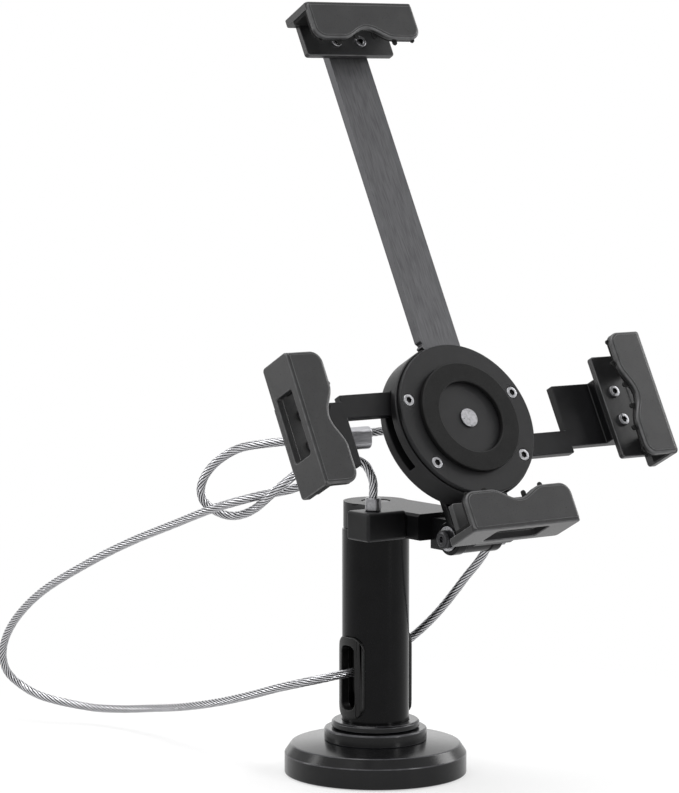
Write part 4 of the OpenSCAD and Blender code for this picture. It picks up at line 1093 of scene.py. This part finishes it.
# %% Place the four jaws
JAW_PLACES = {"top_jaw": ((0, 0, 200.8), math.pi), "bottom_jaw": ((0, 0, -58), 0),
              "left_jaw": ((-101, 0, 0), math.pi / 2),
              "right_jaw": ((101, 0, 0), -math.pi / 2)}
for node, (spot, angle) in JAW_PLACES.items():
    mesh = jaw_mesh.copy()
    turned = Matrix.Translation(spot) @ Matrix.Rotation(angle, 4, "Y")
    mesh.transform(Matrix.Scale(MM, 4) @ HUB @ turned)
    smooth(mesh, 30)
    jaw = in_scene("look_" + node, mesh)
    even_normals(jaw)
    place(jaw, [node], "jaw_plastic")
    print(node, "past its CAD box by %.2f mm" % (past_box(jaw.data, node) / MM))

# %% [markdown]
# ## Studio
# The photo is a catalogue cut-out: white everywhere, with hardly a shadow. A plain white
# world would light black paint from all sides and make it grey. So the white is only for
# the rays that look straight at it or are mirrored in metal, while the light that falls on
# the stand comes from a faint fill and a few large soft lamps. These draw the long bright
# lines on the tube, the base and the cable. The floor keeps a soft shadow near the base.

# %% Floor
FLOOR_HALF, FLOOR_Z = 4.0, -0.0002
SHADOW_R, WHITE_R, NEAR_WHITE = 0.06, 0.30, 0.55


def seen_directly(tree):
    """1 for the rays that should meet plain white: camera, glossy and transmission."""
    rays = tree.nodes.new("ShaderNodeLightPath").outputs
    either = combined(tree, "MAXIMUM", rays["Is Camera Ray"], rays["Is Glossy Ray"])
    return combined(tree, "MAXIMUM", either, rays["Is Transmission Ray"])


floor_mesh = bpy.data.meshes.new("floor")
floor_mesh.from_pydata([(x * FLOOR_HALF, y * FLOOR_HALF, FLOOR_Z)
                        for x, y in ((-1, -1), (1, -1), (1, 1), (-1, 1))], [],
                       [(0, 1, 2, 3)])
floor = in_scene("floor", floor_mesh)
print("floor laid, half width", FLOOR_HALF)

# %% The floor's paint
floor_paint, tree, shader = new_material("floor_paint")
shader.inputs["Base Color"].default_value = (0.93, 0.93, 0.93, 1)
shader.inputs["Roughness"].default_value = 0.9
shader.inputs["Specular IOR Level"].default_value = 0.1
coord = tree.nodes.new("ShaderNodeTexCoord")
away = tree.nodes.new("ShaderNodeVectorMath")
away.operation = "LENGTH"
tree.links.new(coord.outputs["Object"], away.inputs[0])
fade = spread(tree, away.outputs["Value"], NEAR_WHITE, 1, SHADOW_R, WHITE_R, "SMOOTHSTEP")
share = combined(tree, "MULTIPLY", fade, seen_directly(tree))
glow = tree.nodes.new("ShaderNodeEmission")
glow.inputs["Color"].default_value = (1, 1, 1, 1)
mixed = tree.nodes.new("ShaderNodeMixShader")
tree.links.new(share, mixed.inputs["Fac"])
tree.links.new(shader.outputs["BSDF"], mixed.inputs[1])
tree.links.new(glow.outputs["Emission"], mixed.inputs[2])
tree.links.new(mixed.outputs["Shader"], tree.nodes["Material Output"].inputs["Surface"])
floor_mesh.materials.append(floor_paint)
print("floor is white from %.2f m outward" % WHITE_R)

# %% Lamps
# Each lamp has a place, a point that it is aimed at, a width, a height and watts.
MIDDLE, FOOT = (0, 0, 0.18), (0, 0, 0.02)
LAMPS = {
    "right_key": ((1.70, -0.45, 0.95), MIDDLE, 0.7, 0.9, 15),
    "front_strip": ((0.40, -1.75, 0.55), MIDDLE, 0.18, 1.1, 10),
    "left_fill": ((-1.70, -0.60, 1.10), MIDDLE, 0.8, 1.0, 6),
    "left_rim": ((-1.30, 1.25, 0.70), MIDDLE, 0.35, 1.3, 9),
    "top": ((-0.2, 0.1, 1.9), MIDDLE, 1.3, 1.3, 26),
    "back_low": ((0.75, 1.55, 0.30), FOOT, 1.3, 0.35, 1.2),
}
for name, (spot, aim, width, height, power) in LAMPS.items():
    light = bpy.data.lights.new(name, "AREA")
    light.shape = "RECTANGLE"
    light.size, light.size_y, light.energy = width, height, power
    lamp = in_scene(name, light)
    lamp.location = spot
    lamp.rotation_euler = (Vector(aim) - Vector(spot)).to_track_quat("-Z", "Y").to_euler()
print("lamps:", list(LAMPS))

# %% Background
FILL_STRENGTH, WHITE_STRENGTH = 0.35, 1.0
world = bpy.data.worlds.new("studio")
bpy.context.scene.world = world
world.use_nodes = True
tree = world.node_tree
tree.nodes.clear()
out = tree.nodes.new("ShaderNodeOutputWorld")
mix = tree.nodes.new("ShaderNodeMixShader")
tree.links.new(seen_directly(tree), mix.inputs["Fac"])
for socket, strength in ((1, FILL_STRENGTH), (2, WHITE_STRENGTH)):
    light = tree.nodes.new("ShaderNodeBackground")
    light.inputs["Color"].default_value = (1, 1, 1, 1)
    light.inputs["Strength"].default_value = strength
    tree.links.new(light.outputs["Background"], mix.inputs[socket])
tree.links.new(mix.outputs["Shader"], out.inputs["Surface"])
bpy.context.scene.view_settings.view_transform = "Standard"
print("studio ready")
